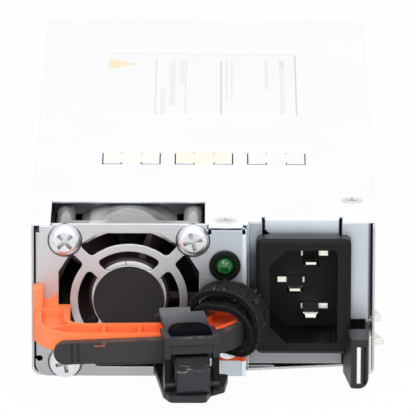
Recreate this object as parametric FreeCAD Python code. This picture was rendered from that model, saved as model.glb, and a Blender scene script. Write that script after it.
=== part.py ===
import FreeCAD, Part
import math
import os

# Hot swap server power supply.  Millimetres, X to the right, Y from front to rear, Z up.
# The origin is the centre of the bottom face of the case.

V = FreeCAD.Vector
X_AXIS = V(1, 0, 0)
Y_AXIS = V(0, 1, 0)
Z_AXIS = V(0, 0, 1)

# ---------------------------------------------------------------- driving dimensions
# Case
case_width = 86.0
case_height = 40.0
case_length = 185.0
steel = 0.6                 # sheet of the base, the cover and the panels
floor_bend = 2.5            # outer radius where the floor turns up into the walls
cover_seat_width = 7.5      # lips of the walls that the cover rests on
fold_gap = 0.4              # gap between the walls and the panels that fold inside them
vent_across = 3.6           # six-sided holes of the rear panel
vent_pitch = 4.6
window_margin = 0.6         # cover window round the fan, and how far it reaches back
window_length = 19.2
lance_length = 10.5         # three groups of three tongues, lanced across the cover
lance_width = 4.8
lance_pitch = 18.6
lance_distance = 50.8       # from the front of the case
lance_slot = 1.1            # slot along the front of the outer tongues
lance_slit = 0.3
step_groove = 0.2           # pressed lines in the cover
cover_lip = 1.6             # the cover reaches past the front plate above the light
lip_gap = 0.7               # below that lip
dimple = 6.4                # pressed seat of a cover screw
hook_width = 9.0            # hooks of the cover, under the lips of the walls
hook_distance = 15.0        # from the rear

# Fan, a 38 mm square axial fan
fan_clearance = 1.0         # between the fan and the top and bottom of the case
fan_depth = 28.0
fan_wall_distance = 5.4     # from the left face of the case to the fan
fan_hole_inset = 3.0        # from the edge of the fan to its screws
fan_flange = 4.0            # thickness of each end flange
fan_rim = 1.2               # wall round the air passage
blade_gap = 0.5             # between the blade tips and the air passage
hub_diameter = 20.4
blade_count = 5
blade_twist = 32.0          # degrees over the depth of the rotor
hub_top = 1.2               # the hub lies this far inside the fan's front face
hub_wall = 1.2
rotor_length = 20.5
strut_depth = 4.0           # struts and motor seat at the rear of the fan
motor_seat = 21.0
stator_bore = 7.0
shaft_diameter = 2.0
bearing_diameter = 5.0
bearing_width = 2.3

# Fan grille, cut in the front plate
grille_disc = 18.1
grille_inner_slot = 25.6    # outer diameter of the inner row of slots
grille_ring = 29.4          # outer diameter of the ring
grille_border = 1.4         # from the edge of the fan to the outer outline
grille_flat = 7.5           # half the length of each straight side of the outline
grille_corner = 13.7        # the outline's corners on the diagonals
grille_spoke = 2.7
slot_corner = 1.1

# Status light
led_diameter = 5.0
led_bezel = 7.9
led_barrel = 7.0            # depth of the bezel behind the plate
led_margin = 5.4            # from the LED to the edge of the front plate
led_x_from_fan = 24.0       # from the fan's axis to the light's axis
led_z = 29.2

# Screws
cover_screw_head = 5.2
cover_screw_thread = 3.0
fan_screw_head = 8.0
fan_screw_thread = 3.4
handle_screw_head = 5.6
handle_screw_thread = 2.6

# Label on the cover
label_width = 50.4
label_length = 58.5
label_x = -0.7
label_distance = 94.5
flag_length = 7.6
flag_width = 10.4
flag_inset = 11.3           # from the rear edge of the label

# AC inlet, appliance coupler C14 standing on end
inlet_edge_distance = 17.9  # from the right face of the case to the inlet's axis
inlet_rise = 1.4            # from the middle of the case up to the inlet's axis
inlet_width = 23.8
inlet_height = 30.1
cavity_width = 16.9
cavity_height = 24.4
cavity_depth = 15.0
cavity_chamfer = 4.2
pin_pitch = 14.0
earth_offset = 4.0
pin_width = 4.0
pin_thickness = 2.0
pin_length = 9.2
inlet_body_width = 19.4
inlet_body_height = 27.0
inlet_body_depth = 24.0     # behind the face of the flange
busbar_width = 1.6
busbar_thickness = 0.8
busbar_distance = 2.6       # behind the front edge of the board
shoulder_width = 6.8        # bright terminal shoulders at the foot of the pins
side_fold = 10.0            # of the inlet panel, along the wall of the case
inlet_recess = 3.0          # the inlet panel stands behind the front plate
panel_bottom = 2.5
floor_inset = [4.3, 8.8]    # floor edge under the inlet, behind the front plate, left and right
cover_tab_recess = 5.4      # the cover's front tab above the inlet

# Pull handle
bar_top = 18.9
bar_height = 4.9
bar_depth = 9.3             # width of the bar seen from above
handle_reach = 24.5         # from the front plate to the front of the bar, at the left corner
handle_slant = 1.2          # the bar lies that much closer to the plate at its right end
handle_left_inset = 1.2     # from the left face of the case
handle_span = 52.4          # between the outer faces of the two legs
left_leg = 8.6              # width of the left leg
left_radius = 11.5
right_radius = 18.5
inner_radius = 3.3
handle_rim = 1.6
pocket_depth = 1.9          # pockets on both sides leave a web in the middle
pocket_start = 4.2          # the legs are solid that far from the plate
tab_bottom = 9.9
tab_top = 24.3
foot_bottom = 4.9

# Retention strap on the handle, its clamp and the hook-and-loop strap
strap_thickness = 1.3
strap_gap = 0.1             # between the handle and the strap
strap_height = 6.0
strap_bottom = 11.4
strap_overhang = 6.6        # straight end past the start of the left corner
strap_tilt = 2.2            # degrees, the strap climbs towards the right
clamp_width = 13.6
clamp_x = -3.6
clamp_wall = 1.5
clamp_yaw = 8.0             # degrees, the clamp stands askew on the bar
clamp_bottom = 4.8
clamp_top = 20.8
clamp_front = 31.4          # front faces, measured from the front plate
pawl_front = 34.6
pawl_width = 8.2
pawl_pin_diameter = 1.2
band_height = 4.6           # front band above the pawl
pad_width = 9.9             # rounded thumb pad behind the band
pad_rear = 21.8             # from the front plate
loop_width = 8.4
loop_turn = 18.0            # degrees that the loop sits round the handle's right corner
loop_thickness = 1.6

# Release latch
lever_width = 6.2
lever_height = 12.8
lever_reach = 11.0
lever_bottom = 0.5
arm_thickness = 1.3
arm_height = 9.9
latch_pivot_distance = 45.0 # from the front plate back to the latch pin
latch_pin_diameter = 2.0
latch_boss = 5.4
spring_wire = 0.7
spring_gap = 3.2            # in the boss, for the spring
tooth_proud = [1.9, 2.6]    # how far the two teeth stand out of the wall, upper and lower
tooth_distance = 10.0       # from the front plate back to the crest of the teeth
tooth_run = 6.5
tooth_thickness = 1.4
insert_height = 9.5

# Electronics
board_thickness = 1.6
board_height = 4.0          # underside of the board above the floor
board_margin = 4.0          # from each side of the case to the board
card_width = 48.0
card_reach = 9.0            # the card edge stands out of the rear panel
contact_pitch = 2.54
contact_length = 7.0
support_diameter = 6.0
board_screw_thread = 2.5
wire_diameter = 1.2
bulk_diameter = 22.0
bulk_inset = 3.0            # from the left edge of the board
bulk_distance = 9.0         # distances are from the front of the board
part_gap = 1.5              # between neighbours on the board
headroom = 3.2              # above the bulk capacitors
choke_diameter = 22.0
choke_height = 12.0
choke_distance = 4.6
inductor_height = 15.0
film_size = [8.0, 18.0, 14.0]
film_pitch = 12.0
rectifier_size = [18.0, 4.0, 17.0]
rectifier_distance = 4.0
relay_size = [10.0, 20.0, 15.0]
relay_distance = 54.0
fuse_length = 20.0
fuse_distance = 50.0
transformer_length = 32.0
transformer_height = 26.0
transformer_distance = 62.0
card_inset = 12.0           # control board, from the left edge of the board
card_length = 44.0
card_height = 24.0
card_distance = 64.0
chip_size = [1.2, 7.0, 7.0]
heatsink_distance = 80.0
heatsink_height = 28.0
primary_sink = [7.0, 0.5, 46.0]     # inner and outer inset from the right edge, and length
secondary_sink = [25.0, 15.0, 40.0]
fin_pitch = 4.0
fin_thickness = 1.2
output_cap_diameter = 8.0
output_cap_height = 14.0
output_cap_inset = 14.0     # from the rear edge of the board

# Clearances
beyond = 40.0               # ahead of the front plate, clear of the handle and its strap
running = 0.3               # between pieces that move past each other
seat = 0.02                 # film between pieces that are fastened face to face

# ---------------------------------------------------------------- places worked out from them
front = -case_length / 2
rear = case_length / 2
left = -case_width / 2
right = case_width / 2
fan_size = case_height - 2 * fan_clearance
fan_hole_pitch = fan_size - 2 * fan_hole_inset
fan_bore = fan_size - 2 * fan_rim
grille_window = fan_size - 2 * grille_border
fan_x = left + fan_wall_distance + fan_size / 2
fan_z = case_height / 2
window_x0 = fan_x - fan_size / 2 - window_margin
window_x1 = fan_x + fan_size / 2
fan_front = front + steel + 1.4
fan_rear = fan_front + fan_depth
led_x = fan_x + led_x_from_fan
plate_left = left + steel + fold_gap
plate_right = led_x + led_margin
inlet_x = right - inlet_edge_distance
inlet_z = case_height / 2 + inlet_rise
inlet_panel_y = front + inlet_recess
inlet_face = front - 1.5
bar_bottom = bar_top - bar_height
handle_left = left + handle_left_inset
handle_right = handle_left + handle_span
board_bottom = steel + board_height
board_top = board_bottom + board_thickness
cover_bottom = case_height - steel
board_width = case_width - 2 * board_margin
board_left = -board_width / 2
board_right = board_width / 2
bulk_height = cover_bottom - board_top - headroom
board_front = fan_rear + 5.0
board_rear = rear - 2.0
latch_x0 = right - 7.8
lever_right = latch_x0 + lever_width
arm_outer = right - steel - running
handle_back = front - seat
arc_x = handle_right - right_radius
arc_y = front - (handle_reach - handle_slant - right_radius)
pawl_pivot = clamp_front
pawl_pivot_z = clamp_bottom + clamp_wall + 2.2
handle_screw_x = plate_right - 4.7
handle_screw_z = 8.4
pivot_x = arm_outer - latch_boss / 2
arm_z0 = lever_bottom + 1.7
arm_front = inlet_face - running - 3.2
pivot_y = front + latch_pivot_distance
tooth_y = front + tooth_distance
tooth_tops = [lever_bottom + 12.3, lever_bottom + 6.1]


def forward(distance):
    """Y of a point that many millimetres in front of the front plate."""
    return front - distance


# ---------------------------------------------------------------- helpers
def box(x0, x1, y0, y1, z0, z1):
    """Box between two corners."""
    return Part.makeBox(x1 - x0, y1 - y0, z1 - z0, V(x0, y0, z0))


def rod(diameter, start, direction, length):
    """Solid cylinder from a point along a direction."""
    return Part.makeCylinder(diameter / 2, length, start, direction)


def tube(outer, inner, start, direction, length):
    """Hollow cylinder."""
    return rod(outer, start, direction, length).cut(rod(inner, start, direction, length))


def prism(points, depth):
    """Closed outline pushed along a vector."""
    return Part.Face(Part.makePolygon(points + points[:1])).extrude(depth)


def slab(corners, z0, z1):
    """Outline given in X and Y, raised from z0 to z1."""
    return prism([V(x, y, z0) for x, y in corners], V(0, 0, z1 - z0))


def upright(corners, y0, y1):
    """Outline given in X and Z, pushed from y0 to y1."""
    return prism([V(x, y0, z) for x, z in corners], V(0, y1 - y0, 0))


def whole(shape):
    """The only solid of a result that came wrapped in a compound."""
    return shape.Solids[0] if len(shape.Solids) == 1 else shape


def rounded(shape, radius, direction, where=None):
    """Fillet the straight edges that run along a direction, all of them or those where() accepts."""
    picked = []
    for edge in shape.Edges:
        if len(edge.Vertexes) != 2 or not isinstance(edge.Curve, (Part.Line, Part.LineSegment)):
            continue
        run = edge.Vertexes[1].Point - edge.Vertexes[0].Point
        if run.Length < 1e-6 or abs(abs(run.normalize().dot(direction)) - 1) > 1e-3:
            continue
        if where is None or where(edge.CenterOfMass):
            picked.append(edge)
    return whole(shape.makeFillet(radius, picked)) if picked else shape


def rounded_bar(x0, x1, y0, y1, z0, z1, radius, direction):
    """Box with the four edges along one direction rounded."""
    return rounded(box(x0, x1, y0, y1, z0, z1), radius, direction)


def bent_sheet(line, radii, thickness, y0, y1):
    """Sheet bent along an open line of X and Z, its thickness to the left of the line, from y0 to y1."""
    inner = []
    for index, (x, z) in enumerate(line):
        normals = []
        for a, b in zip(line[max(index - 1, 0):index + 1], line[max(index, 1):index + 2]):
            size = math.hypot(b[0] - a[0], b[1] - a[1])
            normals.append((-(b[1] - a[1]) / size, (b[0] - a[0]) / size))
        nx = sum(n[0] for n in normals) / len(normals)
        nz = sum(n[1] for n in normals) / len(normals)
        scale = thickness / (nx * nx + nz * nz)
        inner.append((x + nx * scale, z + nz * scale))
    sheet = upright(line + inner[::-1], y0, y1)
    for outside, inside, radius in zip(line[1:-1], inner[1:-1], radii):
        for (x, z), bend in ((outside, radius), (inside, radius - thickness)):
            if bend > 0:
                sheet = rounded(sheet, bend, Y_AXIS,
                                lambda c, x=x, z=z: math.hypot(c.x - x, c.z - z) < thickness / 4)
    return sheet


def fused(shapes):
    """Join shapes that touch or overlap into one solid."""
    return whole(shapes[0].multiFuse(shapes[1:]).removeSplitter())


def save(name, *solids):
    """Write one node, made of one or more separate solids."""
    shape = solids[0] if len(solids) == 1 else Part.makeCompound(list(solids))
    shape.exportStep("parts/" + name + ".step")
    print(name, len(shape.Solids), round(sum(s.Volume for s in shape.Solids), 2), shape.isValid())


def pan_screw(head, head_height, thread, length, recess):
    """Cross recess pan head screw, head upwards from Z = 0, thread down along -Z."""
    dome = Part.makeCylinder(head / 2, head_height)
    dome = dome.makeFillet(head_height * 0.62,
                           [e for e in dome.Edges if e.CenterOfMass.z > head_height - 0.01])
    shank = rod(thread, V(0, 0, -length), Z_AXIS, length)
    arms = [box(-recess, recess, -recess / 5, recess / 5, head_height * 0.35, head_height + 1),
            box(-recess / 5, recess / 5, -recess, recess, head_height * 0.35, head_height + 1)]
    return fused([dome, shank]).cut(arms[0]).cut(arms[1])


def flat_screw(head, thread, depth, length, recess):
    """Cross recess countersunk screw, top face at Z = 0, thread down along -Z."""
    cone = Part.makeCone(thread / 2, head / 2, depth, V(0, 0, -depth))
    shank = rod(thread, V(0, 0, -length), Z_AXIS, length)
    arms = [box(-recess, recess, -recess / 5, recess / 5, -depth / 2, 1),
            box(-recess / 5, recess / 5, -recess, recess, -depth / 2, 1)]
    return fused([cone, shank]).cut(arms[0]).cut(arms[1])


def facing_front(shape, turn=0.0):
    """Turn a shape whose axis is +Z so that it points out of the front, then spin it about that axis."""
    shape.rotate(V(0, 0, 0), Z_AXIS, turn)
    shape.rotate(V(0, 0, 0), X_AXIS, 90)
    return shape


def at(shape, x, y, z):
    """Copy of a shape moved to a place."""
    moved = shape.copy()
    moved.translate(V(x, y, z))
    return moved


# ---------------------------------------------------------------- case
def cover_screw_places():
    """Plan positions of the two flush screws: above the light and above the release latch."""
    return [(plate_right - 5.3, front + 3.4), (right - 5.6, front + 20.5)]


def base_chassis():
    """Folded floor and side walls, with lips along the top that carry the cover."""
    line = [(left + cover_seat_width, cover_bottom), (left, cover_bottom), (left, 0),
            (right, 0), (right, cover_bottom), (right - cover_seat_width, cover_bottom)]
    y0 = front + steel + seat
    shell = bent_sheet(line, [1.0, floor_bend, floor_bend, 1.0], steel, y0, rear)
    # the floor stops short under the inlet
    bend_x = right - floor_bend
    shell = shell.cut(slab([(plate_right, y0 - 1), (bend_x, y0 - 1), (bend_x, front + floor_inset[1]),
                            (plate_right, front + floor_inset[0])], -1, steel + 0.1))
    # the left lip is cut away at the fan, and both lips start behind the folded front plates
    shell = shell.cut(box(left + steel, left + cover_seat_width + 1, y0 - 1, fan_rear + 1,
                          cover_bottom - 2 * steel, case_height))
    shell = shell.cut(box(right - cover_seat_width - 1, right - steel, y0 - 1, inlet_panel_y + side_fold + 2,
                          cover_bottom - 2 * steel, case_height))
    for top in tooth_tops:
        shell = shell.cut(box(right - steel - 1, right + 1, tooth_y - 1.2, tooth_y + tooth_run + 0.8,
                              top - tooth_thickness - running, top + running))
    x, y = cover_screw_places()[1]
    return whole(shell.cut(rod(cover_screw_thread, V(x, y, cover_bottom - 2), Z_AXIS, 3)))


def lance_cuts():
    """Slots and slits that part the three tongues of each group."""
    y0 = front + lance_distance
    y1 = y0 + lance_length
    for group in (-1, 0, 1):
        for side in (-1, 1):
            inner = group * lance_pitch + side * lance_width / 2
            outer = inner + side * lance_width
            places = [(inner, outer, y0, y0 + lance_slot), (outer, outer + side * lance_slit, y0, y1),
                      (outer, outer + side * lance_slot, y1 - 2 * lance_slit, y1),
                      (inner, inner + side * lance_slit, y1 - lance_slot, y1),
                      (inner, inner + side * lance_slit, y0, y0 + 2 * lance_slot)]
            for xa, xb, ya, yb in places:
                yield box(min(xa, xb), max(xa, xb), ya, yb, cover_bottom - 1, case_height + 1)


def cover_grooves():
    """Pressed lines of the cover, behind the tongues and behind the label."""
    lines = [(-28.4, 28.4, front + lance_distance + lance_length + 3.3),
             (label_x - label_width / 2, label_x + label_width / 2 + 1,
              front + label_distance + label_length + 1.5)]
    for x0, x1, y in lines:
        yield box(x0, x1, y, y + 2 * step_groove, case_height - step_groove, case_height + 1)


def cover_hook(side):
    """Hook under the lip of one wall: -1 on the left and 1 on the right."""
    y0 = rear - hook_distance - hook_width
    under = cover_bottom - steel - seat
    x_in = case_width / 2 - cover_seat_width - fold_gap - steel
    upright_part = box(x_in, x_in + steel, y0, y0 + hook_width, under - steel, cover_bottom + 0.1)
    hook = fused([upright_part, box(x_in, x_in + 4, y0, y0 + hook_width, under - steel, under)])
    return hook if side > 0 else hook.mirror(V(0, 0, 0), X_AXIS)


def top_cover():
    """Flat sheet with the fan window, a front tab above the inlet and three groups of lanced tongues."""
    tab_y = front + cover_tab_recess
    edge_y = front + inlet_recess
    tab_x0 = inlet_x - inlet_width / 2 + 2.2
    tab_x1 = inlet_x + inlet_width / 2 - 3.0
    outline = [(left, rear), (left, front + 0.2), (window_x0, front + 0.2),
               (window_x0, front + window_length),
               (window_x1, front + window_length), (window_x1, front + 0.8), (window_x1 + 0.9, front + 0.8),
               (window_x1 + 0.9, front - cover_lip), (plate_right - 0.9, front - cover_lip),
               (plate_right - 0.9, front + 0.8), (plate_right + 0.4, front + 0.8), (plate_right + 0.4,
                                                                                    edge_y),
               (tab_x0 - 0.8, edge_y), (tab_x0 - 0.8, tab_y + 1.6), (tab_x0, tab_y + 1.6), (tab_x0, tab_y),
               (tab_x1, tab_y), (tab_x1, tab_y + 1.6), (tab_x1 + 0.8, tab_y + 1.6), (tab_x1 + 0.8, edge_y),
               (right, edge_y), (right, rear)]
    sheet = slab(outline, cover_bottom, case_height)
    tab_bottom = inlet_z + inlet_body_height / 2 + running
    tab = upright([(tab_x0, case_height), (tab_x0, tab_bottom + 1.8), (tab_x0 + 1.8, tab_bottom),
                   (tab_x1, tab_bottom), (tab_x1, case_height)], tab_y, tab_y + steel)
    sheet = fused([sheet, tab, cover_hook(-1), cover_hook(1)])
    sheet = rounded(sheet, 0.5, X_AXIS, lambda c: abs(c.y - tab_y) < 0.01 and c.z > case_height - 0.01)
    x, y = cover_screw_places()[0]
    sheet = sheet.fuse(rod(dimple, V(x, y, cover_bottom - lip_gap), Z_AXIS, lip_gap + 0.1))
    for cut in list(lance_cuts()) + list(cover_grooves()):
        sheet = sheet.cut(cut)
    sheet = sheet.cut(rod(cover_screw_thread, V(x, y, cover_bottom - 1), Z_AXIS, 1.2))
    for x, y in cover_screw_places():
        cone = Part.makeCone(cover_screw_thread / 2 + 0.1, cover_screw_head / 2 + 0.1,
                             steel + 0.002, V(x, y, cover_bottom - 0.001))
        sheet = sheet.cut(cone)
    return whole(sheet.removeSplitter())


def grille_cutters(y0, y1):
    """Two rows of slots round the fan's axis, divided by four slanting spokes."""
    spokes = []
    for turn in (45, 135):
        bar = box(-fan_size, fan_size, y0, y1, -grille_spoke / 2, grille_spoke / 2)
        bar.rotate(V(0, 0, 0), Y_AXIS, turn)
        spokes.append(at(bar, fan_x, 0, fan_z))
    depth = y1 - y0
    centre = V(fan_x, y0, fan_z)
    inner = tube(grille_inner_slot, grille_disc, centre, Y_AXIS, depth)
    half = grille_window / 2
    outline = []
    for turn in range(4):
        for x, z in ((grille_flat, half), (-grille_flat, half), (-grille_corner, grille_corner)):
            for quarter in range(turn):
                x, z = -z, x
            outline.append((x, z))
    outer = at(upright(outline, y0, y1), fan_x, 0, fan_z).cut(rod(grille_ring, centre, Y_AXIS, depth))
    for row in (inner, outer):
        for slot in row.cut(spokes[0]).cut(spokes[1]).Solids:
            yield rounded(slot, slot_corner, Y_AXIS, beside_spoke)


def beside_spoke(point):
    """True for a slot corner that lies on the edge of a spoke."""
    x = point.x - fan_x
    z = point.z - fan_z
    distance = min(abs(x - z), abs(x + z)) / math.sqrt(2)
    return abs(distance - grille_spoke / 2) < 0.05


def fan_hole_places():
    """X and Z of the four fan screws."""
    half = fan_hole_pitch / 2
    return [(fan_x + i * half, fan_z + k * half) for i in (-1, 1) for k in (-1, 1)]


def front_plate():
    """Folded plate that carries the fan, the light and the handle, with the fan grille cut in it."""
    y1 = front + steel
    notch = 1.0
    side_top = case_height - 2.4
    side_bottom = 5.2
    led_part = window_x1 + 0.5
    under = cover_bottom - seat
    roof_top = cover_bottom - lip_gap - seat
    plate = upright([(plate_left, 0), (plate_right, 0), (plate_right, roof_top), (led_part, roof_top),
                     (led_part, case_height), (window_x0 + 0.2, case_height), (window_x0 + 0.2, under),
                     (plate_left + notch, under), (plate_left + notch, side_top), (plate_left,
                                                                                   side_top)], front, y1)
    plate = rounded(plate, 3.2, Y_AXIS, lambda c: c.x < plate_left + 0.1 and c.z < 1)
    side = box(plate_left, plate_left + steel, front, front + 10, side_bottom, side_top)
    roof = box(led_part, plate_right, front, front + 9, roof_top - steel, roof_top)
    foot = box(led_part + 0.4, plate_right - 1, front, front + 8, steel + seat, 2 * steel + seat)
    plate = fused([plate, side, roof, foot])
    plate = plate.cut(rod(1.6, V(plate_left + notch, front - 1, side_bottom - 0.6), Y_AXIS, 3))
    plate = plate.cut(box(plate_left - 1, plate_left + notch, front - 1, y1 + 0.2, side_bottom - 0.8,
                          side_bottom))
    plate = rounded(plate, 0.9, Z_AXIS, lambda c: c.x < plate_left + 0.01 and c.y < front + 0.01
                    and c.z > side_bottom)
    plate = rounded(plate, 0.5, X_AXIS, lambda c: c.y < front + 0.01 and led_part < c.x
                    and abs(c.z - roof_top) < 0.01)
    for x in (led_part + 0.3, plate_right - 1.1):
        plate = plate.cut(box(x, x + 0.8, front - 1, front + 1.6, roof_top - 1.4, case_height))
    for slot in grille_cutters(front - 1, y1 + 0.5):
        plate = plate.cut(slot)
    for x, z in fan_hole_places():
        plate = plate.cut(rod(fan_screw_thread + 0.2, V(x, front - 1, z), Y_AXIS, 3))
    plate = plate.cut(rod(led_bezel - 1.2, V(led_x, front - 1, led_z), Y_AXIS, 3))
    plate = plate.cut(rod(handle_screw_thread, V(handle_screw_x, front - 1, handle_screw_z), Y_AXIS, 3))
    x, y = cover_screw_places()[0]
    plate = plate.cut(rod(cover_screw_thread, V(x, y, cover_bottom - 3), Z_AXIS, 4))
    return whole(plate)


def inlet_panel():
    """Recessed plate round the AC inlet, open at the latch and below the cover's front tab."""
    y0 = inlet_panel_y
    y1 = y0 + steel
    x0 = plate_right + seat
    x1 = right - steel - fold_gap
    latch_top = lever_bottom + lever_height + 0.9
    notch_x0 = inlet_x - inlet_width / 2 + 1.5
    notch_x1 = inlet_x + inlet_width / 2 - 2.3
    floor_top = steel + seat
    foot_y = front + floor_inset[0] + 6
    panel = box(x0, x1, y0, y1, panel_bottom, cover_bottom - seat)
    fold = box(x0, x0 + steel, front + 0.4, y1, panel_bottom, cover_bottom - seat)
    side = box(x1 - steel, x1, y0, y0 + side_fold, latch_top, cover_bottom - 2)
    leg = box(x0, x0 + steel, y0, foot_y, floor_top, panel_bottom + steel)
    foot = box(x0, x0 + 7, foot_y - 5, foot_y, floor_top, floor_top + steel)
    panel = fused([panel, fold, side, leg, foot])
    panel = rounded(panel, 0.9, Z_AXIS, lambda c: c.x > x1 - 0.01 and c.y < y0 + 0.01 and c.z > latch_top)
    panel = panel.cut(box(latch_x0 - 0.4, x1 + 1, y0 - 1, y1 + 0.2, -1, latch_top))
    panel = panel.cut(box(notch_x0, notch_x1, y0 - 1, y1 + 1, inlet_z + inlet_height / 2 - 1, case_height))
    body = rounded_bar(inlet_x - inlet_body_width / 2 - running, inlet_x + inlet_body_width / 2 + running,
                       y0 - 1, y1 + 1, inlet_z - inlet_body_height / 2 - running,
                       inlet_z + inlet_body_height / 2 + running, 1.5, Y_AXIS)
    return whole(panel.cut(body))


def hexagon(across, y0, y1, x, z):
    """Six-sided bar along Y."""
    radius = across / math.sqrt(3)
    points = [(x + radius * math.cos(math.radians(60 * i + 30)),
               z + radius * math.sin(math.radians(60 * i + 30)))
              for i in range(6)]
    return upright(points, y0, y1)


def rear_panel():
    """End plate with a honeycomb of vents and the slot of the card edge."""
    x0 = left + steel + seat
    z0 = steel + seat
    z1 = cover_bottom - seat
    y0 = rear - steel
    lip_x = left + cover_seat_width + 0.2
    lip_z = z1 - steel - seat
    panel = upright([(x0, z0), (-x0, z0), (-x0, lip_z), (-lip_x, lip_z), (-lip_x, z1), (lip_x, z1),
                     (lip_x, lip_z), (x0, lip_z)], y0, rear)
    panel = rounded(panel, floor_bend - steel + 0.3, Y_AXIS, lambda c: c.z < z0 + 0.01)
    flanges = [box(x, x + steel, rear - 9, rear, z0 + floor_bend, z1 - 2 * steel) for x in (x0, -x0 - steel)]
    panel = fused([panel] + flanges)
    panel = panel.cut(box(-card_width / 2 - 0.6, card_width / 2 + 0.6, y0 - 1, rear + 1,
                          board_bottom - 0.6, board_top + 0.6))
    row_height = vent_pitch * math.sqrt(3) / 2
    rows = int((z1 - board_top - 8) / row_height)
    holes = []
    for row in range(rows):
        count = int((case_width - 14) / vent_pitch) - row % 2
        z = board_top + 5.5 + row * row_height
        for column in range(count):
            x = (column - (count - 1) / 2) * vent_pitch
            holes.append(hexagon(vent_across, y0 - 1, rear + 1, x, z))
    return whole(panel.cut(Part.makeCompound(holes)))


def insulation_sheet():
    """Thin plastic film between the board and the floor, with its edges turned up the walls."""
    x0 = -board_width / 2 + 2
    y0 = fan_rear + 2
    z0 = steel + seat
    film = box(x0, -x0, y0, rear - 2, z0, z0 + 0.3)
    for x, y in board_support_places():
        film = film.cut(rod(support_diameter * 1.2, V(x, y, 0), Z_AXIS, 3))
    return whole(film)


def top_label():
    """Bare paper label on the cover."""
    return rounded_bar(label_x - label_width / 2, label_x + label_width / 2, front + label_distance,
                       front + label_distance + label_length, case_height, case_height + 0.1, 1.0, Z_AXIS)


def amber_sticker():
    """Small plain amber pennant on a corner of the label."""
    y = front + label_distance + label_length - flag_inset
    x = label_x - label_width / 2 + 0.2
    half = flag_width / 2
    corners = [(x, y - half), (x + flag_length - 0.8, y - 0.6), (x + flag_length, y),
               (x + flag_length - 0.8, y + 0.6), (x + 0.3, y + half)]
    return slab(corners, case_height + 0.1, case_height + 0.18)


def cover_screws():
    """Flush cross recess screws of the cover."""
    screw = flat_screw(cover_screw_head, cover_screw_thread - 0.1, steel - seat, 4.0, 1.5)
    return [at(screw, x, y, case_height) for x, y in cover_screw_places()]


def grille_disc_label():
    """Dark round sticker on the middle of the grille."""
    return rod(grille_disc - 0.3, V(fan_x, front - 0.12, fan_z), Y_AXIS, 0.12 - seat / 2)


def fan_screws():
    """Pan head screws that hold the fan behind the front plate."""
    screws = []
    for index, (x, z) in enumerate(fan_hole_places()):
        screw = facing_front(pan_screw(fan_screw_head, 2.6, fan_screw_thread - 0.2, 9.0, 2.4),
                             12.0 + 31.0 * index)
        screws.append(at(screw, x, front - seat, z))
    return screws


# ---------------------------------------------------------------- status light
def led_bezel_ring():
    """Black holder of the light, snapped into the front plate."""
    centre = V(led_x, front, led_z)
    flange = rod(led_bezel, centre + V(0, -1.2, 0), Y_AXIS, 1.2 - seat)
    flange = whole(flange.makeChamfer(0.4, [e for e in flange.Edges if e.CenterOfMass.y < front - 1.1]))
    barrel = rod(led_bezel - 1.4, centre + V(0, -seat, 0), Y_AXIS, led_barrel)
    ring = fused([flange, barrel])
    return whole(ring.cut(rod(led_diameter + 0.1, centre + V(0, -3, 0), Y_AXIS, 12)))


def status_led():
    """Round 5 mm light with a domed nose and a base rim."""
    nose = front - 2.0
    radius = led_diameter / 2
    rim_y = front + led_barrel
    body = rod(led_diameter, V(led_x, nose + radius, led_z), Y_AXIS, rim_y + 0.5 - nose - radius)
    dome = Part.makeSphere(radius, V(led_x, nose + radius, led_z))
    rim = rod(led_diameter + 0.9, V(led_x, rim_y, led_z), Y_AXIS, 1.0)
    leads = [box(led_x - 0.25, led_x + 0.25, rim_y + 0.9, rim_y + 5, led_z + k - 0.25, led_z + k + 0.25)
             for k in (-1.27, 1.27)]
    return fused([body, dome, rim] + leads)


# ---------------------------------------------------------------- fan
def fan_frame():
    """Square housing: two flanges with screw corners, a round duct and four struts to the motor seat."""
    x0 = fan_x - fan_size / 2
    z0 = fan_z - fan_size / 2
    y0 = fan_front
    axis = V(fan_x, y0, fan_z)
    flanges = [rounded_bar(x0, x0 + fan_size, y, y + fan_flange, z0, z0 + fan_size, 3.0, Y_AXIS)
               for y in (y0, fan_rear - fan_flange)]
    duct = rod(fan_size - 0.4, axis, Y_AXIS, fan_depth)
    columns = [rod(4.8, V(x, y0, z), Y_AXIS, fan_depth) for x, z in fan_hole_places()]
    square = box(x0, x0 + fan_size, y0, fan_rear, z0, z0 + fan_size)
    frame = fused(flanges + [duct.common(square)] + columns)
    frame = frame.cut(rod(fan_bore, axis + V(0, -1, 0), Y_AXIS, fan_depth + 2))
    for x, z in fan_hole_places():
        frame = frame.cut(rod(fan_screw_thread + 0.1, V(x, y0 - 1, z), Y_AXIS, fan_depth + 2))
    seat_y = fan_rear - strut_depth
    struts = []
    for turn in (0, 90, 180, 270):
        strut = box(motor_seat / 2 - 0.6, fan_bore / 2 + 0.3, seat_y, fan_rear, -1.1, 1.1)
        strut.rotate(V(0, 0, 0), Y_AXIS, turn + 20)
        struts.append(at(strut, fan_x, 0, fan_z))
    cup = rod(motor_seat, V(fan_x, seat_y, fan_z), Y_AXIS, strut_depth)
    column = rod(stator_bore - 2 * seat, V(fan_x, fan_front + hub_top + 3.4, fan_z), Y_AXIS,
                 fan_depth - hub_top - 3.4)
    frame = fused([frame, cup, column] + struts)
    return whole(frame.cut(rod(bearing_diameter + 2 * seat, V(fan_x, fan_front + hub_top + 3.0, fan_z),
                               Y_AXIS,
                               fan_depth - hub_top - 4.5)))


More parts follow.
